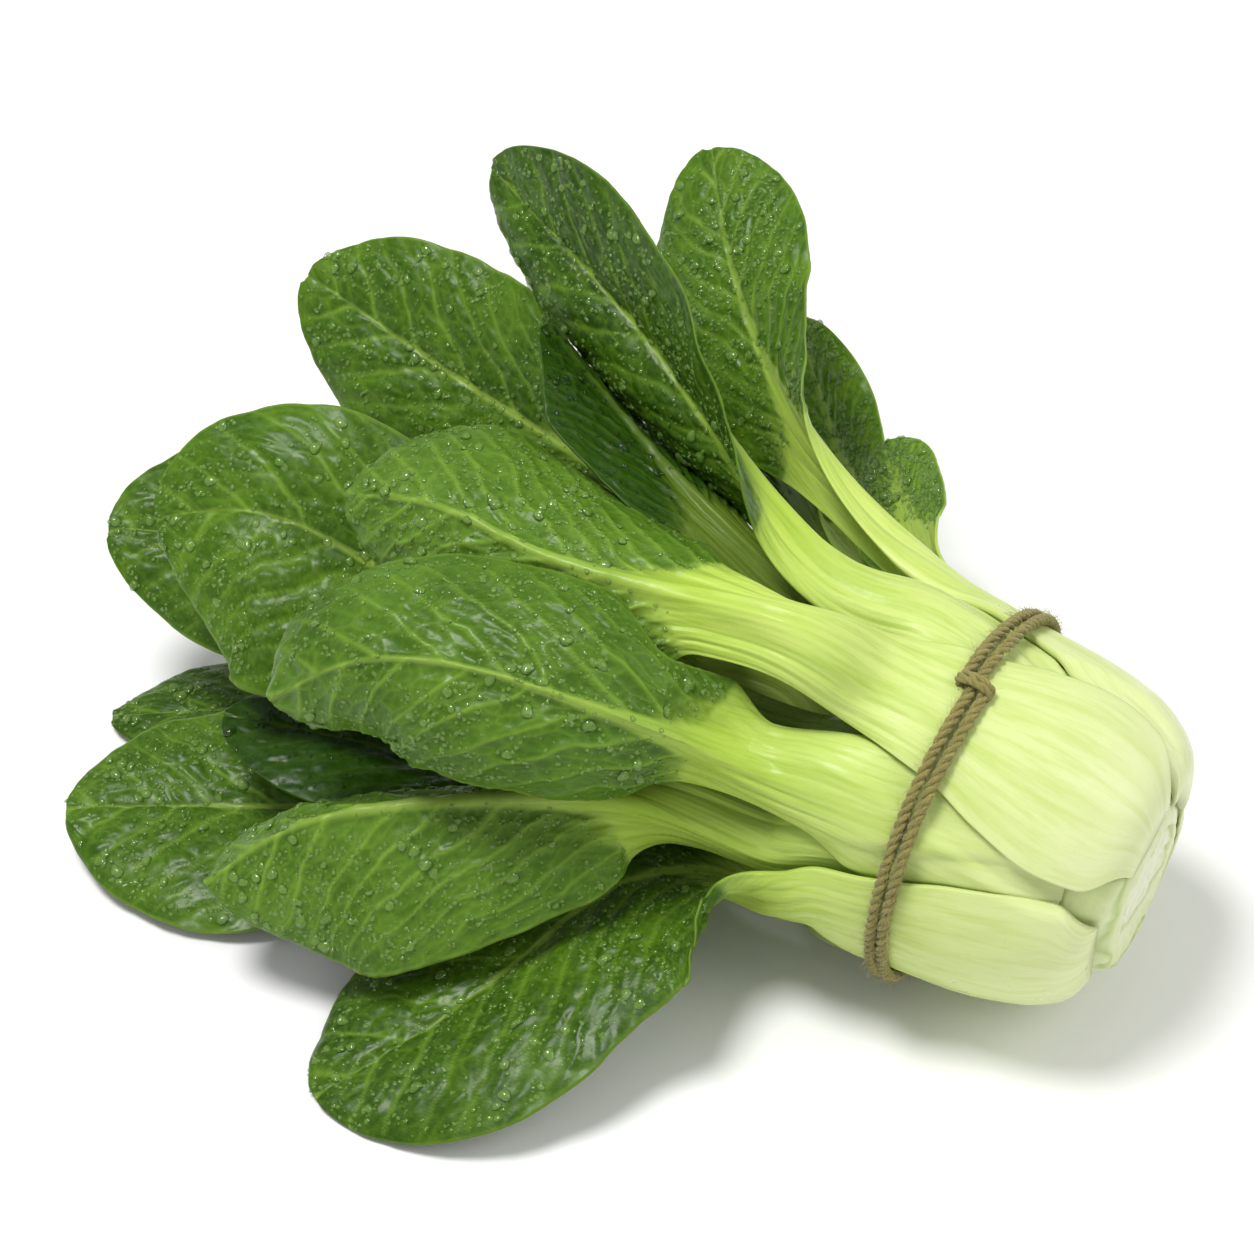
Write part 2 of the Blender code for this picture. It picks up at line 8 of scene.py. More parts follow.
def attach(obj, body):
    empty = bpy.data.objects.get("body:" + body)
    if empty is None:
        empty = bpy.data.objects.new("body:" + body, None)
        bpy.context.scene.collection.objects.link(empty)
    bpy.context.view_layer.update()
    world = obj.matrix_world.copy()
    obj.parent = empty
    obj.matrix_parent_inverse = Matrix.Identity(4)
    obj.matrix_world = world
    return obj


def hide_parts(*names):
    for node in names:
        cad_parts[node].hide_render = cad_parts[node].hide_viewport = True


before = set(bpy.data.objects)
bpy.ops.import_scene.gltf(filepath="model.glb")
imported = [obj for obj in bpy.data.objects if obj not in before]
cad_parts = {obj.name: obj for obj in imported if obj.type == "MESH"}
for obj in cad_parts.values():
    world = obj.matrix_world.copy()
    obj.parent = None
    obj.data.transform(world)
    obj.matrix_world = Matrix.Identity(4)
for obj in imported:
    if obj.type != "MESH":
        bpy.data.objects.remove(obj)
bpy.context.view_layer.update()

MM = 0.001

# ---- the head and the fan, as in the CAD part --------------------------------------------
TIE_STATION, TIE_HEIGHT, AXIS_PITCH = 41.0, 40.0, 4.0
STALK_GAP, TWINE_PITCH, TWINE_CLEARANCE, TWINE_RADIUS = 1.2, 2.6, 0.4, 1.15
TIP_START, EDGE = 0.60, 1.0
HEAD_STATIONS = (0, 3, 8, 15, 25, 41, 55, 80)
HEAD_RADII = (19.5, 25.5, 30, 33.4, 35.6, 37.2, 39.2, 44)
SPAN_STATIONS = (0, 15, 30, 41, 60, 90)
THICK_STATIONS = (0, 8, 20, 41, 90)
THICK_SHARE = (1.15, 1.1, 1.0, 0.9, 0.8)
FAN_TURN, FAN_LEAN = radians(30.0), radians(42.0)
ACROSS = np.array([cos(FAN_TURN), sin(FAN_TURN), 0.0])
UP = np.array([-sin(FAN_TURN) * sin(FAN_LEAN), cos(FAN_TURN) * sin(FAN_LEAN), cos(FAN_LEAN)])
OUT = np.array([sin(FAN_TURN) * cos(FAN_LEAN), -cos(FAN_TURN) * cos(FAN_LEAN), sin(FAN_LEAN)])
AXIS = np.array([-cos(radians(AXIS_PITCH)), 0.0, sin(radians(AXIS_PITCH))])
HEAD_UP = np.array([sin(radians(AXIS_PITCH)), 0.0, cos(radians(AXIS_PITCH))])
HEAD_FRONT = np.array([0.0, -1.0, 0.0])
TIE = np.array([0.0, 0.0, TIE_HEIGHT])
CUT = TIE - AXIS * TIE_STATION
ORIGIN = np.array([-7.80869477e+01, 8.71115954e-01, 6.61904361e-02])

LEAVES = [
    ('outer_leaf_1', 20, 1.5, 6.5, 9.5, 4.2, (38, 37, 30, 23, 18, 15), (
        (-34.6, 32.3, 31, 204, 9.5, 7.5, 0, 55, 0, 55),
        (-51.4, 38, 25, 200, 10, 11.5, 0, 45, 5, 55),
        (-69, 42.5, 21, 195, 17, 22, 0, 45, 15, 66),
        (-86.5, 48.5, 17, 190, 19, 29.5, 0, 50, 15, 64),
        (-103.9, 57, 10, 188, 21, 30, 0, 45, 10, 64),
        (-123.8, 60, -2, 188, 22, 24, 0, 40, 5, 60),
    )),
    ('outer_leaf_2', 103, 3.5, 4.9, 9.5, 4, (38, 37, 32, 26, 20, 16), (
        (-33.5, -20, 7, 104, 8, 8.5, 0, 50, 0, 50),
        (-46.5, -17, -4, 66, 8, 23, 5, 30, 5, 0),
        (-64, -16.5, -6, 54, 17, 33, 15, -10, 10, -15),
        (-84.1, -28.9, -2, 48, 25, 33, 18, -25, 18, -25),
        (-103, -43.2, 3.5, 44, 27, 32, 18, -25, 18, -25),
        (-129.5, -58.8, 7.8, 42, 24, 24, 10, -20, 10, -20),
    )),
    ('outer_leaf_5', 310, 1.5, 5.9, 9, 3.6, (38, 37, 30, 24, 18, 15), (
        (-8, 45, -9, 274, 8.5, 8.5, 0, 60, 0, 60),
        (-20.7, 58.9, -17, 280, 8, 8.5, 0, 55, 0, 55),
        (-32.4, 77.2, -28, 300, 11, 14, 5, 30, 5, 20),
        (-40.4, 95.9, -38, 322, 17, 23, 15, -10, 15, -15),
        (-45.8, 115.3, -48, 330, 20, 24, 15, -25, 15, -30),
        (-48.9, 138.9, -59, 335, 19, 18, 10, -20, 10, -20),
    )),
    ('outer_leaf_3', 178, 6, 5.7, 9, 4, (38, 37, 32, 26, 20, 16), (
        (-39.1, -9.7, -38, 46, 9, 9, 0, 50, 0, 50),
        (-73.4, -7.9, -40, 44, 9, 9, 0, 40, 0, 40),
        (-107.7, -6.5, -41.7, 40, 14, 15, 5, 20, 5, 20),
        (-132.9, -5, -41, 38, 25, 28, 15, -15, 15, -15),
        (-160.6, -4.5, -40, 36, 27, 33, 18, -22, 18, -22),
        (-187.5, -4.8, -41, 36, 24, 28, 10, -20, 10, -20),
    )),
    ('outer_leaf_4', 247, 1.5, 4.3, 9, 3.6, (38, 37, 32, 26, 20, 16), (
        (0.3, 37.1, -56, 330, 8.5, 8, 0, 50, 0, 50),
        (-9.9, 49.3, -70, 325, 9, 9, 0, 35, 0, 35),
        (-16.4, 65, -83, 320, 12, 13, 10, 10, 10, 10),
        (-22, 83.8, -90, 318, 14, 22, 15, -30, 15, -20),
        (-28.2, 104.8, -95, 318, 12, 22, 10, -20, 10, -20),
    )),
    ('second_leaf_1', 58, 10, 6.5, 9.5, 4.2, (36, 36, 31, 26, 21, 17), (
        (-41.9, 6.6, 21, 168, 8, 9, 0, 50, 0, 50),
        (-52.6, 10.6, 24, 168, 10, 14.5, 0, 50, 0, 45),
        (-63.2, 14.5, 32, 168, 18, 14, -20, 55, 5, 50),
        (-79.2, 20.3, 36, 172, 23, 26, -25, 55, 10, 60),
        (-98.2, 25.9, 33, 176, 24, 27, -25, 55, 10, 65),
        (-116.6, 27.5, 28, 178, 23, 24, -10, 60, 10, 65),
        (-136.7, 19.5, 14, 180, 20, 20, 0, 50, 5, 60),
    )),
    ('second_leaf_2', 132, 8.5, 3.6, 8.5, 3.4, (36, 36, 31, 26, 20, 16), (
        (-35.7, -10.7, -15, 80, 7, 7.5, 0, 50, 0, 50),
        (-61.7, -3.1, -22.1, 72, 8.5, 8.5, 0, 35, 0, 35),
        (-92.7, 1.4, -31.8, 60, 15, 15, 10, -5, 10, -5),
        (-123.5, 9.5, -29, 50, 20, 20, 15, -20, 15, -20),
        (-152.4, 15.4, -32, 48, 16, 15.5, 10, -20, 10, -20),
    )),
    ('second_leaf_3', 215, 7.5, 5.4, 8, 3.2, (36, 36, 31, 26, 20, 16), (
        (-28.8, 12.7, -56, 36, 8, 8, 0, 50, 0, 50),
        (-50.3, 25.4, -72.3, 42, 12, 12, 5, 20, 5, 20),
        (-68.5, 38.4, -94.4, 46, 21, 21, 12, -12, 12, -12),
        (-94.1, 56, -111.3, 48, 17, 17, 10, -15, 10, -15),
    )),
    ('second_leaf_4', 274, 9, 5.8, 8, 3, (36, 36, 31, 24, 18, 15), (
        (3.9, 35.4, -32, 300, 7, 7, 0, 50, 0, 50),
        (-1.7, 46.1, -48, 312, 8, 8, 0, 35, 0, 35),
        (-6.1, 58.5, -60, 322, 13, 13, 10, 10, 10, 10),
        (-9.8, 75.4, -74, 326, 12, 14, 10, -20, 10, -20),
    )),
    ('second_leaf_5', 343, 10.5, 6.1, 9.5, 4, (36, 36, 30, 24, 19, 16), (
        (-23.6, 41.7, 8, 242, 9.5, 9.5, 0, 50, 0, 50),
        (-36.9, 53.4, 5, 258, 12, 11, 0, 35, 0, 45),
        (-48.6, 70.2, 0, 285, 17, 19, 10, 10, 40, -40),
        (-62.5, 90.9, -8, 305, 22, 25, 15, 0, 55, -75),
        (-77.9, 109.8, -18, 312, 22, 24, 15, -10, 50, -70),
        (-96, 130.5, -32, 316, 17, 17, 10, -10, 30, -40),
    )),
    ('third_leaf_1', 86, 10, 5.5, 8.5, 3.8, (34, 34, 29, 23, 18, 15), (
        (-37.4, -9.8, 8, 144, 7.5, 8, 0, 50, 0, 50),
        (-55.2, -3.8, 10, 160, 8, 8.5, 0, 45, 0, 45),
        (-72.9, -0.2, 12, 185, 16, 10, 0, 30, 40, 80),
        (-92.6, -0.7, 9, 196, 27, 19, 5, 35, 50, 95),
        (-116.4, -2.4, 7, 198, 33, 21.5, 5, 35, 50, 95),
        (-134.5, -6.9, 4, 198, 34, 22, 5, 35, 45, 90),
        (-151.5, -17.9, -1, 198, 30, 20, 5, 30, 30, 70),
    )),
    ('third_leaf_2', 160, 12, 5.1, 8, 3.6, (34, 34, 29, 23, 18, 15), (
        (-33.3, 18.9, -8, -4, 7.5, 8, 0, 50, 0, 50),
        (-64.9, 26.5, -15, 0, 9, 9, 0, 40, 0, 40),
        (-93.7, 34.7, -14, 4, 14, 18, 8, 15, 8, 15),
        (-117.6, 45.2, -20, 6, 26, 33, 15, -12, 15, -12),
        (-141.9, 57.1, -22, 8, 28, 38, 18, -22, 18, -22),
        (-166.2, 56.7, -29, 8, 25, 33, 10, -20, 10, -20),
    )),
    ('third_leaf_3', 198, 12, 5.1, 8, 3.2, (34, 34, 29, 23, 18, 15), (
        (-34.9, 14.8, -41, 40, 7.5, 7.5, 0, 50, 0, 50),
        (-75.7, 14.8, -56, 46, 9, 9, 0, 35, 0, 35),
        (-118, 14.3, -64, 50, 16, 16, 10, -5, 10, -5),
        (-151.7, 15.3, -71, 50, 22, 22, 15, -20, 15, -20),
        (-183, 13.7, -72.3, 48, 17, 17, 10, -20, 10, -20),
    )),
    ('third_leaf_4', 236, 12, 5.5, 8, 3.4, (34, 34, 29, 23, 18, 15), (
        (-37.6, 18.9, -28, 10, 8, 8, 0, 50, 0, 50),
        (-77.7, 33.2, -42, 14, 9, 9, 0, 35, 0, 35),
        (-121.2, 44.4, -50, 16, 20, 20, 10, -5, 10, -5),
        (-152.1, 52.4, -54, 14, 30, 28, 15, -20, 15, -20),
        (-181.1, 55.5, -56, 12, 25, 24, 10, -20, 10, -20),
    )),
    ('third_leaf_5', 320, 15, 5.5, 8, 3.4, (34, 34, 29, 23, 18, 15), (
        (-27.5, 39.4, -17, -60, 8, 8, 0, 50, 0, 50),
        (-52.4, 54.1, -26, -50, 8.5, 8.5, 0, 40, 0, 40),
        (-73.3, 68.2, -36, -36, 13.5, 14, 8, 15, 8, 15),
        (-95, 81.7, -47, -22, 25.5, 25, 15, -12, 15, -12),
        (-115.1, 95.5, -56, -16, 26, 26, 18, -22, 18, -22),
        (-138.1, 111.9, -64, -14, 22, 22, 10, -20, 10, -20),
    )),
    ('third_leaf_6', 12, 16.5, 4.4, 8, 3, (34, 34, 29, 23, 18, 15), (
        (-23.5, 28.9, 7, 212, 6.5, 6.5, 0, 50, 0, 50),
        (-45, 49.2, 1, 222, 7.5, 9.6, 0, 40, 0, 40),
        (-58.4, 63.6, -6, 235, 13.5, 15.1, 5, 20, 5, 20),
        (-73.2, 81.5, -16, 245, 17, 18.6, 5, 30, 5, 30),
        (-84.7, 95.6, -16, 250, 12, 13.6, 5, 30, 5, 30),
    )),
    ('heart_leaf_1', 49, 16, 4.3, 7.5, 3, (32, 32, 27, 21, 17, 14), (
        (-33.5, 10.5, 9, 184, 7.5, 7.5, 0, 50, 0, 50),
        (-55.1, 19.3, 4, 186, 8, 8, 0, 40, 0, 40),
        (-75, 31.2, 0, 190, 14, 14, 5, 30, 5, 30),
        (-95.2, 39.2, -4, 190, 17, 17, 5, 40, 5, 40),
        (-113.8, 45.4, -7, 190, 14, 14, 5, 40, 5, 40),
    )),
    ('heart_leaf_2', 277, 17, 4.5, 7.5, 3, (30, 30, 26, 20, 16, 14), (
        (-10.8, 34.8, -24, 280, 7, 7, 0, 50, 0, 50),
        (-22.6, 48, -34, 290, 7.5, 7.5, 0, 40, 0, 40),
        (-33.6, 65.4, -45, 310, 12, 11, 5, 10, 5, 10),
        (-42.4, 83.6, -57, 325, 14, 14, 5, -10, 5, -10),
        (-50.2, 101.1, -68, 335, 11, 11, 5, -10, 5, -10),
    )),
]
LEAF_LIST = [dict(name=r[0], angle=r[1], start=r[2], thick=r[3], half_width=r[4], rib=r[5], span=r[6], stations=r[7])
             for r in LEAVES]

# how each leaf looks: which face takes the drops (1 inner, -1 outer, 0 none), depth of green
# (0 pale .. 1 dark; above 1 is painted shade on the inner leaves, below 0 painted light on the back leaves), how
# yellow-white its stalk is, waviness of the margin (mm), lobe length (mm)
LOOK = {
    'outer_leaf_1': (-1, 0.45, 0.85, 0.5, 9), 'outer_leaf_2': (1, 0.80, 0.80, 0.8, 3),
    'outer_leaf_3': (1, 0.55, 0.60, 0.8, 6), 'outer_leaf_4': (1, -0.25, 0.70, 0.8, 6),
    'outer_leaf_5': (1, 0.45, 0.95, 0.7, 7), 'second_leaf_1': (-1, 0.60, 0.55, 0.5, 4.5),
    'second_leaf_2': (1, 1.12, 0.35, 0.8, 6), 'second_leaf_3': (1, 1.0, 0.5, 0.8, 6),
    'second_leaf_4': (1, -0.25, 0.6, 0.7, 6), 'second_leaf_5': (1, 0.95, 0.75, 0.6, 7),
    'third_leaf_1': (-1, 0.45, 0.15, 0.5, 7), 'third_leaf_2': (1, 0.55, 0.4, 0.8, 6),
    'third_leaf_3': (1, 0.8, 0.4, 0.8, 6), 'third_leaf_4': (1, 0.6, 0.4, 0.8, 6),
    'third_leaf_5': (1, 0.55, 0.4, 0.8, 6), 'third_leaf_6': (-1, 1.15, 0.3, 0.6, 5),
    'heart_leaf_1': (-1, 1.15, 0.3, 0.5, 5), 'heart_leaf_2': (1, 1.12, 0.3, 0.5, 5),
}


# ---- curves ------------------------------------------------------------------------------
def spline(t, points, at):
    n = len(t)
    h = np.diff(t)
    a = np.zeros((n, n))
    b = np.zeros((n, points.shape[1]))
    a[0, 0] = a[-1, -1] = 1
    for i in range(1, n - 1):
        a[i, i - 1], a[i, i], a[i, i + 1] = h[i - 1], 2 * (h[i - 1] + h[i]), h[i]
        b[i] = 6 * ((points[i + 1] - points[i]) / h[i] - (points[i] - points[i - 1]) / h[i - 1])
    m = np.linalg.solve(a, b)
    k = np.clip(np.searchsorted(t, at, side='right') - 1, 0, n - 2)
    hk = h[k][:, None]
    d0 = (at - t[k])[:, None]
    d1 = (t[k + 1] - at)[:, None]
    return ((m[k] * d1 ** 3 + m[k + 1] * d0 ** 3) / (6 * hk)
            + (points[k] / hk - m[k] * hk / 6) * d1 + (points[k + 1] / hk - m[k + 1] * hk / 6) * d0)


def ease(t, y, at):
    t = np.asarray(t, float)
    y = np.asarray(y, float)
    at = np.asarray(at, float)
    h = np.diff(t)
    d = np.diff(y) / h
    m = np.zeros(len(t))
    m[0], m[-1] = d[0], d[-1]
    for i in range(1, len(t) - 1):
        m[i] = 0 if d[i - 1] * d[i] <= 0 else 2 * d[i - 1] * d[i] / (d[i - 1] + d[i])
    k = np.clip(np.searchsorted(t, at, side='right') - 1, 0, len(t) - 2)
    x = np.clip((at - t[k]) / h[k], 0, 1)
    return ((2 * x ** 3 - 3 * x ** 2 + 1) * y[k] + (x ** 3 - 2 * x ** 2 + x) * h[k] * m[k]
            + (-2 * x ** 3 + 3 * x ** 2) * y[k + 1] + (x ** 3 - x ** 2) * h[k] * m[k + 1])


def step(x, a, b):
    x = np.clip((np.asarray(x, float) - a) / (b - a), 0, 1)
    return x * x * (3 - 2 * x)


def noise(x, y, seed):
    """Smooth value noise in -1..1."""
    x = np.asarray(x, float) + 100.0
    y = np.asarray(y, float) + 100.0
    xi, yi = np.floor(x).astype(int), np.floor(y).astype(int)
    fx, fy = x - xi, y - yi
    fx, fy = fx * fx * (3 - 2 * fx), fy * fy * (3 - 2 * fy)

    lat = np.random.default_rng(seed).random((64, 64)) * 2 - 1
    g = lambda a, b: lat[a % 64, b % 64]
    return ((g(xi, yi) * (1 - fx) + g(xi + 1, yi) * fx) * (1 - fy)
            + (g(xi, yi + 1) * (1 - fx) + g(xi + 1, yi + 1) * fx) * fy)


def net(x, y, seed):
    """Distance (in cells) from the nearest wall of an irregular network."""
    x = np.asarray(x, float) + 100.0
    y = np.asarray(y, float) + 100.0
    rng = np.random.default_rng(seed)
    jx, jy = rng.random((64, 64)) * 0.8 + 0.1, rng.random((64, 64)) * 0.8 + 0.1
    xi, yi = np.floor(x).astype(int), np.floor(y).astype(int)
    f1 = np.full(x.shape, 9.0)
    f2 = np.full(x.shape, 9.0)
    for a in (-1, 0, 1):
        for b in (-1, 0, 1):
            px, py = (xi + a) % 64, (yi + b) % 64
            d = np.hypot(xi + a + jx[px, py] - x, yi + b + jy[px, py] - y)
            f2 = np.minimum(f2, np.maximum(f1, d))
            f1 = np.minimum(f1, d)
    return (f2 - f1) / 2


def rest_on_table(p):
    """Anything that would sink under the table bends up and lies on it."""
    z = p[..., 2] - ORIGIN[2]
    p = p.copy()
    p[..., 2] = ORIGIN[2] + np.where(z < 1.5, 1.5 * np.exp((np.minimum(z, 1.5) - 1.5) / 1.5), z)
    return p


# ---- nested stalks -----------------------------------------------------------------------
def head_radius(s):
    return ease(HEAD_STATIONS, HEAD_RADII, s)


def half_span(leaf, s):
    return ease(SPAN_STATIONS, leaf['span'], s)


def stalk(leaf, th, s):
    d = np.abs((th - leaf['angle'] + 180) % 360 - 180)
    w = half_span(leaf, s)
    thick = leaf['thick'] * ease(THICK_STATIONS, THICK_SHARE, s)
    body = thick * np.clip(1 - (d / w) ** 2, 0, 1) ** 0.8
    edge = EDGE * (1 - step(d, w, w + 14))
    return (body + edge) * step(s, leaf['start'] - 6, leaf['start'])


def nest_radius(order, th, s):
    r = head_radius(s) + 0.0 * np.asarray(th, float)
    for leaf in LEAF_LIST[:order]:
        c = stalk(leaf, th, s)
        r = r - c - STALK_GAP * (c > 1e-6) * np.clip(c / 0.3, 0, 1)
    return r


def radial(th):
    th = np.radians(np.asarray(th, float))
    return np.cos(th)[..., None] * HEAD_UP + np.sin(th)[..., None] * HEAD_FRONT


def fan_point(p):
    return TIE + p[0] * ACROSS + p[1] * UP + p[2] * OUT


# ---- one leaf, finely --------------------------------------------------------------------
def leaf_surfaces(order):
    leaf = LEAF_LIST[order]
    look = LOOK[leaf['name']]
    seed = 11 * order + 3
    st = leaf['stations']
    here = np.array([leaf['angle']], float)
    inner = []
    for s in (leaf['start'], (leaf['start'] + 26) / 2, 26, TIE_STATION, 54):
        r = nest_radius(order, here, s)[0] - stalk(leaf, here, s)[0]
        inner.append(CUT + AXIS * s + radial(here)[0] * r)
    rib = np.array(inner + [fan_point(q[0:3]) for q in st])
    t = np.concatenate([[0], np.cumsum(np.linalg.norm(np.diff(rib, axis=0), axis=1))])
    end, t_in, t_free = t[-1], t[4], t[5:]

    base_w = leaf['half_width']
    knots = np.concatenate([[0, t_in], t_free])
    probe = np.linspace(t_in, end, 400)
    wide = ease(knots, np.array([base_w, base_w] + [0.5 * (q[4] + q[5]) for q in st]), probe)
    t_blade = probe[np.argmax(wide > 1.22 * base_w)]          # where the blade starts to widen
    step_a, step_b = ((0.9, 0.5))
    u = np.concatenate([np.arange(0, t_blade - 6, step_a),
                        np.linspace(t_blade - 6, end, int((end - t_blade + 6) / step_b))])
    u[-1] = end
    # closer rows at the very tip
    x = np.clip((u - (end - 5)) / 5, 0, 1)
    u = np.where(u > end - 5, end - 5 + 5 * np.sin(x * pi / 2), u)
    mid = spline(t, rib, u)
    tan = spline(t, rib, np.clip(u + end * 1e-3, 0, end)) - spline(t, rib, np.clip(u - end * 1e-3, 0, end))
    tan /= np.linalg.norm(tan, axis=1)[:, None]

    def along(i, base):
        return ease(knots, np.concatenate([[base, base], [q[i] for q in st]]), u)

    n0 = OUT - (AXIS @ OUT) * AXIS
    n0 /= np.linalg.norm(n0)
    b0 = np.cross(AXIS, n0)
    face = -radial(here)[0]
    roll0 = np.degrees(np.arctan2(b0 @ face, n0 @ face))
    roll0 += 360 * round((st[0][3] - roll0) / 360)
    roll = np.radians(along(3, roll0))[:, None]
    n1 = OUT - (tan @ OUT)[:, None] * tan
    n1 /= np.linalg.norm(n1, axis=1)[:, None]
    nor = n1 * np.cos(roll) + np.cross(tan, n1) * np.sin(roll)
    bi = np.cross(tan, nor)

    wl, wr = along(4, base_w), along(5, base_w)
    l0, l1, r0, r1 = along(6, 5.0), along(7, 60.0), along(8, 5.0), along(9, 60.0)
    tip = np.clip(((u - t_free[0]) / (end - t_free[0]) - TIP_START) / (1 - TIP_START), 0, 1)
    tip = np.sqrt(np.clip(1 - (tip * 0.996) ** 2.8, 0, 1))
    # a slightly uneven outline
    blade_q = np.clip((u - t_blade) / (end - t_blade), 0, 1)
    uneven = 0.020 * noise(u / 11.0, u * 0 + 3.3, seed) + 0.005 * noise(u / 4.5, u * 0 + 1.3, seed + 1)
    uneven2 = 0.020 * noise(u / 11.0, u * 0 + 7.3, seed + 2) + 0.005 * noise(u / 4.5, u * 0 + 5.3, seed + 3)
    on = step(blade_q, 0.0, 0.1)
    wl, wr = wl * tip * (1 + uneven * on), wr * tip * (1 + uneven2 * on)
    if look[1] > 1.05:                                          # the inner leaves lie close against their neighbours
        wl, wr = wl * (1 + 0.10 * on), wr * (1 + 0.10 * on)

    cells = 104
    v = np.linspace(-1, 1, cells + 1)
    pos = (v > -1e-9)[None, :]
    A0 = np.radians(np.where(pos, l0[:, None], r0[:, None]))
    A1 = np.radians(np.where(pos, l1[:, None], r1[:, None]))
    W = np.where(pos, wl[:, None], wr[:, None])
    V = np.abs(v)[None, :] + 0 * A0
    dA = A1 - A0
    dA = np.where(np.abs(dA) < 1e-4, 1e-4, dA)
    AL = A0 + dA * V
    bb = W * (np.sin(AL) - np.sin(A0)) / dA
    nn = W * (np.cos(A0) - np.cos(AL)) / dA
    side = np.where(pos, 1.0, -1.0)
    face_in = mid[:, None, :] + bi[:, None, :] * (bb * side)[..., None] + nor[:, None, :] * nn[..., None]
    guide = nor[:, None, :] * np.cos(AL)[..., None] - bi[:, None, :] * (side * np.sin(AL))[..., None]

    # blade base lobes reach back past the place where the blade joins the stalk
    lobe = look[4] * np.exp(-((u - t_blade - 9) / 13) ** 2) * step(u, t_blade - 8, t_blade + 6)
    face_in = face_in - tan[:, None, :] * (lobe[:, None] * np.clip((V * W - 6) / 14, 0, 1) ** 1.2)[..., None]

    out = np.cross(np.gradient(face_in, axis=1), np.gradient(face_in, axis=0))
    size = np.linalg.norm(out, axis=2, keepdims=True)
    out = np.where(size > 1e-7, out / np.maximum(size, 1e-7), guide)
    out = out * np.where((out * guide).sum(2, keepdims=True) < 0, -1.0, 1.0)

    thick = leaf['thick']
    rib_t = ease([0, t_in, t_free[0], (t_free[0] + end) / 2, end], [thick, thick * 0.8, leaf['rib'], 1.6, 0.3], u)
    blade = step(u, t_free[0] - 0.25 * (t_free[0] - t_in) - 4, t_free[0] + 0.12 * (end - t_free[0]))[:, None]
    stem_t = rib_t[:, None] * np.clip(1 - V ** 2, 0, 1) ** 0.7 + 0.9
    far = V * W
    rib_w = np.maximum(0.8, rib_t * 0.75)[:, None]
    thin = 0.75 - 0.4 * V ** 4 + rib_t[:, None] * np.exp(-(far / rib_w) ** 2)
    depth = stem_t * (1 - blade) + thin * blade

    # veins: laterals sweep forward from the midrib, with finer ones between them
    U = u[:, None] + 0 * V
    y = v[None, :] * W
    wx = U + 1.5 * noise(U / 8, y / 8, seed + 4) + 0.5 * noise(U / 2.6, y / 2.6, seed + 5)
    wy = np.abs(y) + 1.2 * noise(U / 7 + 9, y / 7, seed + 6)
    wmax = max(wl.max(), wr.max())
    lead = 0.95 + 2.3 * np.exp(-np.clip(U - t_blade, 0, None) / 26.0)
    spacing = (end - t_blade) / 7.6
    c = wx - lead * wy - 0.55 * wy ** 2 / wmax
    ph = (c - t_blade) / spacing + np.where(pos, 0.0, 0.45)
    ph = ph + 0.10 * noise(ph, 0 * ph + np.where(pos, 1.0, 6.0), seed + 7)
    dist = np.abs(ph - np.round(ph)) * spacing / np.sqrt(1 + (lead + 1.1 * wy / wmax) ** 2)
    in_blade = step(U, t_blade - 8, t_blade + 4)
    vein_w = 0.50 * (1 - 0.5 * V)
    vein = np.exp(-(dist / vein_w) ** 2) * (1 - 0.7 * V ** 2) * in_blade
    # the network between them
    wall5 = net(c / 6.4, (wy + 0.25 * wx) / 4.6, seed + 8) * 5.0
    wall2 = net(wx / 2.5, y / 2.3, seed + 9) * 2.4
    fine = np.maximum(np.exp(-(wall5 / 0.30) ** 2), 0.5 * np.exp(-(wall2 / 0.22) ** 2)) * in_blade * (1 - 0.4 * V)
    # pale rib: the stalk narrows into the midrib
    reach = ease([0, t_blade - 8, t_blade + 6, t_blade + 26, (t_blade + end) / 2 + 14, end],
                 [40, 40, 4.2, 1.35, 0.55, 0.15], u)[:, None]
    streak = 0.7 * noise(U / 16, y * 1.1, seed + 10)
    rib_m = (1 - step(far + streak * np.minimum(1, reach / 3), reach * 0.6, reach * 1.15 + 0.15)) * (1 - 0.75 * blade_q[:, None])
    stalk_m = 1 - step(U + 1.3 * far + 5.0 * (1 - 0.9 * V ** 2) * noise(y / 1.6, U / 30, seed + 11), t_blade + 2, t_blade + 22)

    # relief
    inb = in_blade * (1 - rib_m)
    puff = (1 - np.exp(-(dist / 2.0) ** 2)) * 0.50 + (1 - np.exp(-(wall5 / 0.9) ** 2)) * 0.30 + (1 - np.exp(-(wall2 / 0.5) ** 2)) * 0.07
    lump = 0.22 * noise(U / 6.5, y / 6.5, seed + 12) + 0.10 * noise(U / 2.2, y / 2.2, seed + 13)
    relief = inb * (puff + lump - 0.3) * (1 - 0.6 * V ** 3)
    wave = look[3] * V ** 4 * step(blade_q, 0.02, 0.2)[:, None] * (
        np.sin(U / 4.2 + 1.7 * noise(U / 12, 0 * U, seed + 14) + np.where(pos, 0, 2.0)) * 0.55 + noise(U / 7, 0 * U + np.where(pos, 0, 5.0), seed + 15))
    face_in = face_in + out * (relief + wave)[..., None]
    back = face_in - out * depth[..., None]
    ridge = 0.30 * vein * (1 - rib_m) + 0.10 * fine * (1 - rib_m)
    back = back - out * (ridge * blade)[..., None]

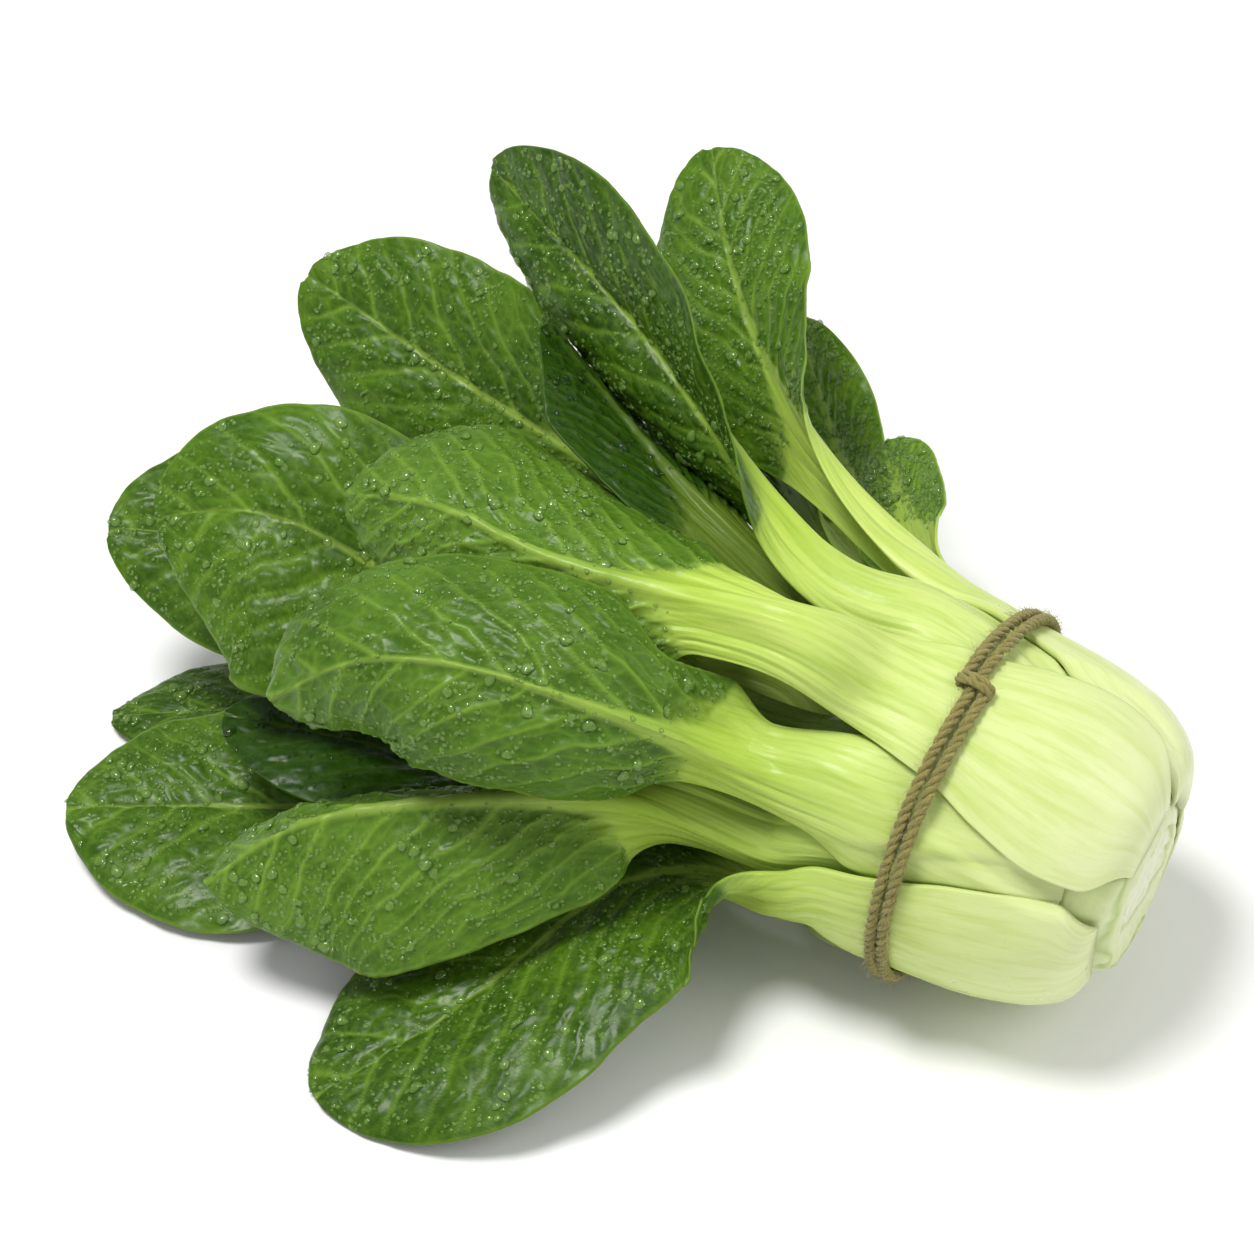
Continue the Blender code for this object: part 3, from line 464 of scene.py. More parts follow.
    # stalk ribs on the outer face, soft grooves on the inner face
    ribs_on = (1 - step(U + 0.8 * far, t_blade - 2, t_blade + 34)) * step(U, 26, 82)
    phase = v[None, :] * 3.1 + 0.55 * noise(U / 45, y / 5.5, seed + 16) + 0.3
    phase2 = v[None, :] * 10.5 + 0.5 * noise(U / 30, y / 3, seed + 19)
    broad = np.abs(np.cos(pi * phase)) ** 0.8 - 0.65
    thin_l = (np.abs(np.cos(pi * phase2)) - 0.6) * (0.5 + 0.5 * noise(U / 25, y / 2, seed + 20))
    rib_h = broad + 0.30 * thin_l
    calm = 0.35 + 0.65 * (1 - V ** 2)
    back = back - out * (rib_h * 0.75 * ribs_on * calm)[..., None]
    face_in = face_in + out * (rib_h * 0.20 * ribs_on * calm)[..., None]
    # broad soft unevenness of the fleshy base
    soft = (0.22 * noise(U / 14, y / 7, seed + 17) + 0.10 * noise(U / 22, y / 2.0, seed + 18)) * (1 - ribs_on)
    soft_on = 1 - step(U, t_blade - 10, t_blade + 20)
    back = back - out * (soft * soft_on)[..., None]

    # inside the head the stalk follows its place in the nest
    s_mid = (mid - CUT) @ AXIS
    share = 1 - step(s_mid, 46, 72)
    for i in range(len(u)):
        if share[i] > 0:
            s = s_mid[i]
            th = leaf['angle'] + v * half_span(leaf, s) * (1 - 0.30 * (1 - step(u[i], 0, 11)) ** 1.5)
            r = nest_radius(order, th, s)
            rd = radial(th)
            flip = bi[i] @ (radial(here + 1)[0] - radial(here - 1)[0]) < 0
            grow = 0.55 * np.clip(1 - np.abs(v) ** 2, 0, 1) - 3.0 * (1 - np.sqrt(1 - max(0.0, 1 - u[i] / 5.0) ** 2))
            o = CUT + AXIS * s + rd * (r + grow)[:, None]
            n = CUT + AXIS * s + rd * (r - np.maximum(stalk(leaf, th, s), 0.9))[:, None]
            if flip:
                o, n = o[::-1], n[::-1]
            bump = (soft[i] * soft_on[i] + rib_h[i] * 0.55 * ribs_on[i] * calm[i])
            rdd = rd[::-1] if flip else rd
            o = o + rdd * bump[:, None]
            face_in[i] = n * share[i] + face_in[i] * (1 - share[i])
            back[i] = o * share[i] + back[i] * (1 - share[i])
    face_in, back = rest_on_table(face_in), rest_on_table(back)
    return dict(inn=face_in, out=back, u=u, v=v, U=U, V=V, y=y, vein=vein, fine=fine, rib=rib_m, stalk=stalk_m,
                inb=in_blade, t_blade=t_blade, end=end, q=blade_q, look=look, seed=seed, s=s_mid, reliefs=relief, far=far)


# ---- meshes ------------------------------------------------------------------------------
def add_object(name, verts, quads, smooth=True):
    me = bpy.data.meshes.new(name)
    verts = np.asarray(verts, np.float32)
    quads = np.asarray(quads, np.int32)
    # faces look outward
    p = verts[quads]
    vol = np.einsum('ij,ij->i', p[:, 0], np.cross(p[:, 1], p[:, 2])).sum() + np.einsum('ij,ij->i', p[:, 0], np.cross(p[:, 2], p[:, 3])).sum()
    if vol < 0:
        quads = quads[:, ::-1]
    me.vertices.add(len(verts))
    me.vertices.foreach_set('co', verts.ravel())
    me.loops.add(quads.size)
    me.loops.foreach_set('vertex_index', np.ascontiguousarray(quads).ravel())
    me.polygons.add(len(quads))
    me.polygons.foreach_set('loop_start', np.arange(0, quads.size, 4, dtype=np.int32))
    me.update(calc_edges=True)
    me.polygons.foreach_set('use_smooth', np.full(len(quads), smooth))
    me.update()
    ob = bpy.data.objects.new(name, me)
    bpy.context.scene.collection.objects.link(ob)
    return ob


def put_colour(ob, name, rgba):
    at = ob.data.attributes.new(name, 'FLOAT_COLOR', 'POINT')
    at.data.foreach_set('color', np.asarray(rgba, np.float32).ravel())


def put_uv(ob, uv):
    lay = ob.data.uv_layers.new(name='skin')
    idx = np.zeros(len(ob.data.loops), np.int32)
    ob.data.loops.foreach_get('vertex_index', idx)
    lay.data.foreach_set('uv', np.asarray(uv, np.float32)[idx].ravel())


def shell_quads(nu, nv):
    i, j = np.meshgrid(np.arange(nu - 1), np.arange(nv - 1), indexing='ij')
    p = (i * nv + j).ravel()
    o = nu * nv
    top = np.stack([p, p + 1, p + nv + 1, p + nv], 1)
    low = np.stack([p + o, p + nv + o, p + nv + 1 + o, p + 1 + o], 1)
    i = np.arange(nu - 1) * nv
    s1 = np.stack([i, i + nv, i + nv + o, i + o], 1)
    i = i + nv - 1
    s2 = np.stack([i + nv, i, i + o, i + nv + o], 1)
    j = np.arange(nv - 1)
    e1 = np.stack([j + 1, j, j + o, j + 1 + o], 1)
    j = j + (nu - 1) * nv
    e2 = np.stack([j, j + 1, j + 1 + o, j + o], 1)
    return np.concatenate([top, low, s1, s2, e1, e2])


# ---- materials ---------------------------------------------------------------------------
class Nodes:
    def __init__(self, name):
        self.mat = bpy.data.materials.new(name)
        self.mat.use_nodes = True
        self.nt = self.mat.node_tree
        self.bsdf = self.nt.nodes['Principled BSDF']

    def new(self, kind, **values):
        n = self.nt.nodes.new(kind)
        for k, v in values.items():
            setattr(n, k, v)
        return n

    def put(self, socket, value):
        if isinstance(value, bpy.types.NodeSocket):
            self.nt.links.new(value, socket)
        elif isinstance(value, (tuple, list)) and len(value) == 3 and socket.type == 'RGBA':
            socket.default_value = (*value, 1.0)
        else:
            socket.default_value = value

    def set(self, name, value):
        self.put(self.bsdf.inputs[name], value)

    def mix(self, fac, a, b, how='MIX'):
        n = self.new('ShaderNodeMix', data_type='RGBA', blend_type=how)
        self.put(n.inputs[0], fac)
        self.put(n.inputs[6], a)
        self.put(n.inputs[7], b)
        return n.outputs[2]

    def math(self, op, a, b=0.0, clamp=False):
        n = self.new('ShaderNodeMath', operation=op, use_clamp=clamp)
        self.put(n.inputs[0], a)
        self.put(n.inputs[1], b)
        return n.outputs[0]

    def range(self, x, a, b, c, d):
        n = self.new('ShaderNodeMapRange', interpolation_type='SMOOTHSTEP')
        for i, v in enumerate((x, a, b, c, d)):
            self.put(n.inputs[i], v)
        return n.outputs[0]

    def ramp(self, fac, stops):
        n = self.new('ShaderNodeValToRGB')
        el = n.color_ramp.elements
        el[0].position, el[0].color = stops[0][0], (*stops[0][1], 1)
        el[1].position, el[1].color = stops[-1][0], (*stops[-1][1], 1)
        for pos, col in stops[1:-1]:
            e = el.new(pos)
            e.color = (*col, 1)
        self.put(n.inputs[0], fac)
        return n.outputs[0]

    def noise(self, vec, scale, detail=3.0, rough=0.5, warp=0.0):
        n = self.new('ShaderNodeTexNoise')
        self.put(n.inputs['Vector'], vec)
        n.inputs['Scale'].default_value = scale
        n.inputs['Detail'].default_value = detail
        n.inputs['Roughness'].default_value = rough
        n.inputs['Distortion'].default_value = warp
        return n.outputs['Fac']

    def mapping(self, vec, scale=(1, 1, 1), shift=(0, 0, 0)):
        n = self.new('ShaderNodeMapping')
        self.put(n.inputs['Vector'], vec)
        n.inputs['Scale'].default_value = scale
        n.inputs['Location'].default_value = shift
        return n.outputs[0]

    def split(self, attribute):
        a = self.new('ShaderNodeAttribute', attribute_name=attribute)
        s = self.new('ShaderNodeSeparateColor')
        self.nt.links.new(a.outputs['Color'], s.inputs[0])
        return s.outputs[0], s.outputs[1], s.outputs[2], a.outputs['Alpha']

    def bump(self, height, strength, distance, after=None):
        n = self.new('ShaderNodeBump')
        n.inputs['Strength'].default_value = strength
        n.inputs['Distance'].default_value = distance
        self.put(n.inputs['Height'], height)
        if after is not None:
            self.nt.links.new(after, n.inputs['Normal'])
        return n.outputs[0]


def lerp(a, b, k):
    return tuple(max(0.002, x + (y - x) * k) for x, y in zip(a, b))


def leaf_material(name, look, seed):
    N = Nodes(name + '_skin')
    green, pale = look[1], look[2]
    rib, vein, fine, edge = N.split('leaf_a')
    stalk_f, along, inner, shade = N.split('leaf_b')
    tc = N.new('ShaderNodeTexCoord')
    obj = tc.outputs['Object']
    uvn = N.new('ShaderNodeUVMap', uv_map='skin').outputs[0]
    shift = (seed * 0.37, seed * 0.19, 0)

    # painted shade and light: a depth of green above 1 pushes these darker on the inner leaves that sit in shade
    # between the outer ones, and below 0 lighter on the two back leaves that face away from the key light
    light = lerp((0.112, 0.235, 0.010), (0.038, 0.100, 0.003), green)
    deep = lerp((0.048, 0.135, 0.005), (0.013, 0.044, 0.001), green)
    blotch = N.noise(obj, 85.0, 3.0, 0.55)
    grain = N.noise(obj, 620.0, 4.0, 0.6)
    blade = N.mix(N.range(blotch, 0.35, 0.68, 0.0, 1.0), deep, light)
    blade = N.mix(N.range(grain, 0.40, 0.72, 0.0, 0.35), blade, lerp(light, (0.19, 0.34, 0.035), 0.6))
    # the puffed parts between veins are deeper green
    blade = N.mix(N.range(shade, 0.2, 0.9, 0.0, 0.45), blade, deep)
    under = N.mix(N.range(blotch, 0.3, 0.7, 0.0, 1.0), lerp((0.068, 0.160, 0.010), (0.030, 0.080, 0.005), green),
                  lerp((0.120, 0.240, 0.022), (0.050, 0.12, 0.009), green))
    blade = N.mix(N.math('MULTIPLY', N.math('SUBTRACT', 1.0, inner), 0.85), blade, under)
    vein_c = lerp((0.26, 0.42, 0.060), (0.13, 0.25, 0.018), green)
    blade = N.mix(N.math('MULTIPLY', fine, 0.28), blade, vein_c)
    blade = N.mix(N.math('MULTIPLY', vein, 0.62), blade, vein_c)
    blade = N.mix(N.math('MULTIPLY', edge, 0.6), blade, lerp((0.28, 0.42, 0.07), (0.12, 0.22, 0.02), green))

    # stalk: pale cream-green by the cut, yellow-green by the blade, with long streaks
    streak = N.noise(N.mapping(uvn, (6.0, 110.0, 1.0), shift), 1.0, 4.0, 0.6)
    streak2 = N.noise(N.mapping(uvn, (2.0, 34.0, 1.0), shift), 1.0, 2.0, 0.5)
    cream, mid, far = (0.72, 0.775, 0.44), (0.60, 0.715, 0.23), (0.49, 0.64, 0.105)
    g1, g2, g3 = (0.44, 0.58, 0.12), (0.33, 0.48, 0.05), (0.20, 0.35, 0.020)
    k = 1 - pale
    # painted shade: the inner leaves (depth of green above 1.05) keep only this share of their own colour
    painted_shade_keep = 0.35 if green > 1.05 else 1.0
    stem_c = N.ramp(along, [(0.0, lerp(cream, (0.64, 0.71, 0.33), k)), (0.22, lerp(lerp(cream, mid, 0.45), g1, k * 0.6)),
                            (0.6, lerp(mid, g1, k)), (1.0, lerp(far, g2, k))])
    stem_d = N.ramp(along, [(0.0, (0.58, 0.66, 0.26)), (0.4, lerp((0.43, 0.58, 0.10), g2, k)), (1.0, lerp((0.28, 0.44, 0.028), g3, k))])
    stem_c = N.mix(N.range(streak, 0.42, 0.70, 0.0, 0.55), stem_c, stem_d)
    stem_c = N.mix(N.range(streak2, 0.45, 0.7, 0.0, 0.45), stem_c, stem_d)
    rib_c = N.mix(N.range(streak, 0.40, 0.68, 0.0, 0.6), lerp(lerp((0.38, 0.54, 0.10), (0.26, 0.40, 0.05), green), g1, 0.35 * k),
                  lerp((0.24, 0.40, 0.045), (0.14, 0.26, 0.015), green))
    colour = N.mix(rib, blade, rib_c)
    colour = N.mix(stalk_f, colour, stem_c)
    # painted shade: on the inner leaves the colour is mixed most of the way to near-black green
    if painted_shade_keep < 1:
        colour = N.mix(1 - painted_shade_keep, colour, (0.012, 0.045, 0.002))
    N.set('Base Color', colour)

    rough = N.range(N.noise(obj, 140.0, 3.0, 0.6), 0.3, 0.7, 0.26, 0.42)
    N.set('Roughness', rough)
    N.set('Specular IOR Level', 0.15)
    N.set('Coat Weight', 0.03)
    N.set('Coat Roughness', 0.10)
    N.set('Subsurface Weight', 0.06)
    N.set('Subsurface Radius', (0.9, 1.0, 0.25))
    N.set('Subsurface Scale', 0.002)

    cell = N.new('ShaderNodeTexVoronoi', feature='SMOOTH_F1')
    N.put(cell.inputs['Vector'], obj)
    cell.inputs['Scale'].default_value = 900.0
    skin = N.bump(cell.outputs['Distance'], 0.12, 0.00012)
    skin = N.bump(N.noise(obj, 420.0, 3.0, 0.6), 0.30, 0.00030, skin)
    lines = N.math('MULTIPLY', streak, stalk_f)
    skin = N.bump(lines, 0.35, 0.00035, skin)
    N.nt.links.new(skin, N.bsdf.inputs['Normal'])
    return N.mat


# ---- leaves ------------------------------------------------------------------------------
drops = []      # (name, points, normals, sizes)
for order, leaf in enumerate(LEAF_LIST):
    L = leaf_surfaces(order)
    nu, nv = L['inn'].shape[0], L['inn'].shape[1]
    verts = (np.concatenate([L['inn'].reshape(-1, 3), L['out'].reshape(-1, 3)]) - ORIGIN) * MM
    ob = add_object(leaf['name'] + '_visual', verts, shell_quads(nu, nv))
    V = L['V']
    edge = np.clip((V - 0.965) / 0.035, 0, 1) * L['inb']
    a = np.stack([L['rib'], L['vein'], L['fine'], edge], 2)
    a_out = np.stack([L['rib'], L['vein'] * 1.1, L['fine'] * 1.2, edge], 2)
    along = np.clip((L['U'] - 4) / (L['t_blade'] - 4), 0, 1)
    var = np.clip(0.5 + L['reliefs'] * 0.9, 0, 1)
    b = np.stack([L['stalk'], along, np.ones_like(V), var], 2)
    b_out = np.stack([L['stalk'], along, np.zeros_like(V), var], 2)
    put_colour(ob, 'leaf_a', np.clip(np.concatenate([a.reshape(-1, 4), a_out.reshape(-1, 4)]), 0, 1))
    put_colour(ob, 'leaf_b', np.concatenate([b.reshape(-1, 4), b_out.reshape(-1, 4)]))
    uv = np.stack([L['U'], L['y'] + 0 * L['U']], 2).reshape(-1, 2) * 0.01
    put_uv(ob, np.concatenate([uv, uv + (0, 3.0)]))
    ob.data.materials.append(leaf_material(leaf['name'], L['look'], L['seed']))
    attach(ob, 'root')
    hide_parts(leaf['name'])
    {'outer': 'outer_leaf', 'second': 'second_leaf', 'third': 'third_leaf', 'heart': 'heart_leaf'}[leaf['name'].split('_')[0]]

    # small drops of water on the blade
    if L['look'][0]:
        rng = np.random.default_rng(900 + order)
        face = L['inn'] if L['look'][0] > 0 else L['out']
        nrm = np.cross(np.gradient(face, axis=1), np.gradient(face, axis=0))
        nrm /= np.maximum(np.linalg.norm(nrm, axis=2, keepdims=True), 1e-9)
        outward = L['inn'] - L['out'] if L['look'][0] > 0 else L['out'] - L['inn']
        nrm = nrm * np.where((nrm * outward).sum(2, keepdims=True) < 0, -1.0, 1.0)
        wgt = (L['inb'] * (V < 0.93) * (1 - 0.7 * L['rib']) * np.clip(1 - 1.6 * L['stalk'], 0, 1) * (0.3 + 0.7 * (noise(L['U'] / 9, L['y'] / 9, 77 + order) > -0.1)))
        du = np.gradient(L['u'])[:, None]
        wgt = wgt * du * (np.abs(L['y']) / np.maximum(V, 0.02))
        wgt = (wgt / wgt.sum()).ravel()
        n = (1500) if L['look'][1] < 1.05 else (420)
        pick = rng.choice(len(wgt), n, p=wgt, replace=False)
        size = 0.17 + 0.46 * rng.random(n) ** 1.5
        big = rng.random(n) < 0.035
        size = np.where(big, 0.7 + 0.75 * rng.random(n), size)
        # the last item flags drops on the inner leaves for painted shade
        drops.append((leaf['name'], face.reshape(-1, 3)[pick], nrm.reshape(-1, 3)[pick], size, float(L['look'][1] > 1.05)))

# ---- water -------------------------------------------------------------------------------
W = Nodes('water')
rim, painted_shade_drop = W.split('rim')[:2]
# painted shade: the drop's base colour goes dark green toward its rim, standing in for the dark refracted edge of clear
# water, with light green in its body for the leaf seen through it; drops on the inner leaves take a near-black green,
# painted shade
W.set('Base Color', W.mix(painted_shade_drop, W.mix(rim, (0.24, 0.44, 0.065), (0.022, 0.08, 0.004)), (0.020, 0.060, 0.004)))
W.set('Roughness', W.range(W.noise(W.new('ShaderNodeTexCoord').outputs['Object'], 900.0), 0.3, 0.7, 0.03, 0.08))
W.set('IOR', 1.55)
W.set('Specular IOR Level', 0.9)
W.set('Alpha', W.range(rim, 0.0, 1.0, 0.38, 0.62))


def domes(pts, nrm, size, ring_n, ring_k, rng):
    """Flattened drops that sit on a face, each a closed cap with a slightly uneven outline."""
    n = len(pts)
    t1 = np.cross(nrm, rng.normal(size=(n, 3)))
    t1 /= np.linalg.norm(t1, axis=1)[:, None]
    t2 = np.cross(nrm, t1)
    h = size * rng.uniform(0.5, 0.75, n)
    ang = np.arange(ring_n) * 2 * pi / ring_n
    wob = (1 + 0.12 * np.cos(2 * ang[None] + rng.random((n, 1)) * 6) + 0.07 * np.cos(3 * ang[None] + rng.random((n, 1)) * 6))
    cx, sy = np.cos(ang)[None] * wob, np.sin(ang)[None] * wob
    rings = [(-0.14, 0.9)] + [(None, k / ring_k * pi / 2) for k in range(ring_k + 1)]
    grid = []
    for lift, e in rings:
        if lift is None:
            rr = size * (cos(e) if e < pi / 2 - 1e-6 else 0.05)
            up = h * sin(e) - 0.04
        else:
            rr, up = size * e, lift + 0 * h
        grid.append(pts[:, None, :] + (nrm * up[:, None])[:, None, :] + t1[:, None, :] * (cx * rr[:, None])[..., None]
                    + t2[:, None, :] * (sy * rr[:, None])[..., None])
    grid = np.stack(grid, 1).reshape(n, -1, 3)
    rows = len(rings)
    q = []
    for k in range(rows - 1):
        for j in range(ring_n):
            j2 = (j + 1) % ring_n
            q.append((k * ring_n + j, k * ring_n + j2, (k + 1) * ring_n + j2, (k + 1) * ring_n + j))
    for k0 in (0, (rows - 1) * ring_n):
        for j in range(0, ring_n // 2 - 1):
            f = (k0 + j, k0 + j + 1, k0 + ring_n - 2 - j, k0 + ring_n - 1 - j)
            q.append(f if k0 else f[::-1])
    q = np.array(q)[None] + (np.arange(n) * rows * ring_n)[:, None, None]
    # rim mask for the water colour: 1 at the foot of the drop, fading up the dome
    low = np.array([1.0] + [max(0.0, 1 - k / ring_k * 1.6) for k in range(ring_k + 1)])
    return grid.reshape(-1, 3), q.reshape(-1, 4), np.tile(np.repeat(low, ring_n), n)


for name, pts, nrm, size, dark in drops:
    rng = np.random.default_rng(len(name) * 7 + int(abs(pts[0][0]) * 10))
    big = size > 0.65
    v1, q1, m1 = domes(pts[~big], nrm[~big], size[~big], 10, 4, rng)
    v2, q2, m2 = domes(pts[big], nrm[big], size[big], 16, 6, rng)
    ob = add_object(name + '_drops', (np.concatenate([v1, v2]) - ORIGIN) * MM, np.concatenate([q1, q2 + len(v1)]))
    edge = np.concatenate([m1, m2])
    # the first channel of 'rim' is the drop's rim, the second flags drops on the inner leaves for painted shade
    put_colour(ob, 'rim', np.stack([edge, dark + 0 * edge, edge, 1 + 0 * edge], 1))
    ob.data.materials.append(W.mat)
    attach(ob, 'root')

# ---- stem: the pale core with its cut face ----------------------------------------------
nth = 240
ph = np.linspace(0, 360, nth, endpoint=False)
room_s = np.concatenate([[1.0, 1.15, 1.5, 2.0], np.linspace(3, 24, 22)])
room = np.array([nest_radius(len(LEAF_LIST), ph, s) for s in room_s]) - 0.2
outer = np.array([nest_radius(5, ph, s) for s in room_s]) - 0.6
reach = (1 - step(room_s, 11.0, 14.5))[:, None]
room = np.maximum(room, outer * reach + room * (1 - reach))
for _ in range(2):
    room = np.minimum(room, (np.roll(room, 1, 1) + room + np.roll(room, -1, 1)) / 3)
room = np.clip(room, 2.0, None)
room[0] -= 0.7
room[1] -= 0.25
room *= np.clip((28 - room_s) / 10, 0.3, 1)[:, None]
# cut face, slightly hollow, with the rings of the cut bases
f = np.linspace(0.02, 0.97, 34)
R = np.concatenate([room[0][None] * f[:, None], room, room[-1:] * 0.1])
s_face = 2.4 - 1.5 * f ** 2.5
S = np.concatenate([s_face[:, None] + 0 * room[:1], room_s[:, None] + 0 * room, [[26.0]] + 0 * room[:1]])
zone = (np.arange(len(R)) < len(f))[:, None]
X, Y = R * np.cos(np.radians(ph)), R * np.sin(np.radians(ph))
ring = np.hypot(X * 1.0, Y) * (1 + 0.10 * noise(X / 5.0, Y / 5.0, 51))
S = S + zone * (0.35 * noise(X / 2.6, Y / 2.6, 8) + 0.16 * noise(X / 0.8, Y / 0.8, 9)
                + 0.9 * np.exp(-((ring - 11.2) / 0.45) ** 2) + 0.8 * np.exp(-((ring - 18.0) / 0.45) ** 2))
face_zone = zone
grid = CUT + S[..., None] * AXIS + radial(ph)[None] * R[..., None]
prof = R
i, j = np.meshgrid(np.arange(len(prof) - 1), np.arange(nth), indexing='ij')
q = np.stack([i * nth + j, i * nth + (j + 1) % nth, (i + 1) * nth + (j + 1) % nth, (i + 1) * nth + j], 2).reshape(-1, 4)
caps = []
for k0 in (0, (len(prof) - 1) * nth):
    for j in range(0, nth // 2 - 1):
        c = (k0 + j, k0 + j + 1, k0 + nth - 2 - j, k0 + nth - 1 - j)
        caps.append(c if k0 else c[::-1])
stem = add_object('stem_visual', (grid.reshape(-1, 3) - ORIGIN) * MM, np.concatenate([q, np.array(caps)]))
rel = R / 22.0 * (1 + 0.10 * noise(X / 5.0, Y / 5.0, 51))
put_colour(stem, 'core', np.stack([np.clip(rel, 0, 1), face_zone + 0 * R, 0 * R, 0 * R + 1], 2).reshape(-1, 4))
C = Nodes('stem_flesh')
rad, onface, _b, _a = C.split('core')
objc = C.new('ShaderNodeTexCoord').outputs['Object']
flesh = C.ramp(rad, [(0.0, (0.74, 0.77, 0.56)), (0.42, (0.78, 0.80, 0.60)), (0.50, (0.50, 0.60, 0.24)), (0.55, (0.74, 0.78, 0.50)),
                     (0.78, (0.66, 0.72, 0.38)), (0.83, (0.44, 0.56, 0.18)), (0.88, (0.68, 0.75, 0.42)), (1.0, (0.60, 0.69, 0.30))])
flesh = C.mix(C.range(C.noise(objc, 420.0, 5.0, 0.65), 0.42, 0.72, 0.0, 0.55), flesh, (0.60, 0.66, 0.36))
C.set('Base Color', flesh)
C.set('Roughness', 0.5)
C.set('Subsurface Weight', 0.15)
C.set('Subsurface Radius', (0.9, 1.0, 0.4))
C.set('Subsurface Scale', 0.002)
C.nt.links.new(C.bump(C.noise(objc, 700.0, 4.0, 0.6), 0.4, 0.0004), C.bsdf.inputs['Normal'])
stem.data.materials.append(C.mat)
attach(stem, 'root')
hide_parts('stem')


# ---- twine -------------------------------------------------------------------------------
def twine_path():
    ring = float(head_radius(TIE_STATION)) + TWINE_CLEARANCE + TWINE_RADIUS
    start = 9.0
    pts = []
    for phi in np.linspace(2, 724, 122):
        off = (-TWINE_PITCH + TWINE_PITCH / 2 * step(phi, 0, 50) + TWINE_PITCH * step(phi, 310, 410)
               + TWINE_PITCH / 2 * step(phi, 670, 718)) - 0.06 * max(0.0, -phi)
        r = ring + 0.25 * (head_radius(TIE_STATION + abs(off)) - head_radius(TIE_STATION))
        pts.append((phi, off, r))
    return np.array([CUT + AXIS * (TIE_STATION + off) + radial(np.array([start + phi]))[0] * r for phi, off, r in pts])


def wrap_path():
    """The twine's end, wound tightly around the strands where they meet."""
    ring = float(head_radius(TIE_STATION)) + TWINE_CLEARANCE + TWINE_RADIUS
    pts = []
    for a in np.linspace(-60, 700, 90):
        e = radians(a)
        phi = 10.5 + 3.6 * (a + 60) / 760
        pts.append(CUT + AXIS * (TIE_STATION + 3.3 * cos(e)) + radial(np.array([phi]))[0] * (ring + 0.15 + 2.05 * sin(e)))
    return np.array(pts)


rng = np.random.default_rng(41)
tv, tq, tcol, tuv = [], [], [], []
base = 0
m = 22


def frames(path, pitch):
    tp = np.concatenate([[0], np.cumsum(np.linalg.norm(np.diff(path, axis=0), axis=1))])
    at = np.arange(0, tp[-1], pitch)
    line = spline(tp, path, at)
    tan = np.gradient(line, axis=0)
    tan /= np.linalg.norm(tan, axis=1)[:, None]
    na = np.zeros_like(line)
    na[0] = np.cross(tan[0], AXIS + 0.1 * HEAD_UP)
    na[0] /= np.linalg.norm(na[0])
    for k in range(1, len(line)):
        v = na[k - 1] - (na[k - 1] @ tan[k]) * tan[k]
        na[k] = v / np.linalg.norm(v)
    return at, line, tan, na, np.cross(tan, na)


for which, (path, fat) in enumerate(((twine_path(), 1.0), (wrap_path(), 0.72))):
    at, line, tan, na, nb = frames(path, 0.3)
    for ply in range(3):
        tw = 2 * pi * at / 6.6 + ply * 2 * pi / 3 + 0.35 * noise(at / 9, at * 0 + ply, 21)
        off = (0.57 + 0.05 * noise(at / 3.0, at * 0 + ply, 22)) * fat
        c = line + na * (np.cos(tw) * off)[:, None] + nb * (np.sin(tw) * off)[:, None]
        ra = 0.60 * fat * (1 + 0.10 * noise(at / 2.4, at * 0 + ply, 23) + 0.05 * noise(at / 0.8, at * 0 + ply, 24))
        ra = ra * np.clip(np.minimum(at, at[-1] - at) / 0.9, 0.25, 1)
        ang = np.arange(m) * 2 * pi / m
        twist = (2 * pi * at / 3.1)[:, None]
        strand = np.cos(6 * (ang[None, :] - twist)) * 0.10 + 0.12 * noise((ang[None, :] - twist) * 5, at[:, None] / 2.2, 30 + ply)
        rr = ra[:, None] * (1 + strand)
        A = ang[None, :] + tw[:, None]
        ringp = c[:, None, :] + na[:, None, :] * (np.cos(A) * rr)[..., None] + nb[:, None, :] * (np.sin(A) * rr)[..., None]
        k, j = np.meshgrid(np.arange(len(at) - 1), np.arange(m), indexing='ij')
        q = np.stack([k * m + j, k * m + (j + 1) % m, (k + 1) * m + (j + 1) % m, (k + 1) * m + j], 2).reshape(-1, 4) + base
        cp = []
        for k0 in (base, base + (len(at) - 1) * m):
            for j in range(0, m // 2 - 1):
                f = (k0 + j, k0 + j + 1, k0 + m - 2 - j, k0 + m - 1 - j)
                cp.append(f if k0 != base else f[::-1])
        tv.append(ringp.reshape(-1, 3))
        tq.append(q)
        tq.append(np.array(cp))
        # painted shade and light: each ply is coloured darker in the grooves between its twisted strands and lighter on
        # their ridges
        ply_ridge_shading = 0.5 + 0.5 * np.clip(strand / 0.18, -1, 1)
        tcol.append(np.stack([ply_ridge_shading, 0 * ply_ridge_shading + ply / 2, 0.5 + 0.5 * noise(at[:, None] / 4 + 0 * ply_ridge_shading, 0 * ply_ridge_shading + ply, 31), 1 + 0 * ply_ridge_shading], 2).reshape(-1, 4))
        tuv.append(np.stack([at[:, None] + 0 * ply_ridge_shading, (ang[None, :] - twist) * 3 + ply * 40], 2).reshape(-1, 2) * 0.01)
        base += ringp.shape[0] * m
at, line, tan, na, nb = frames(twine_path(), 0.3)
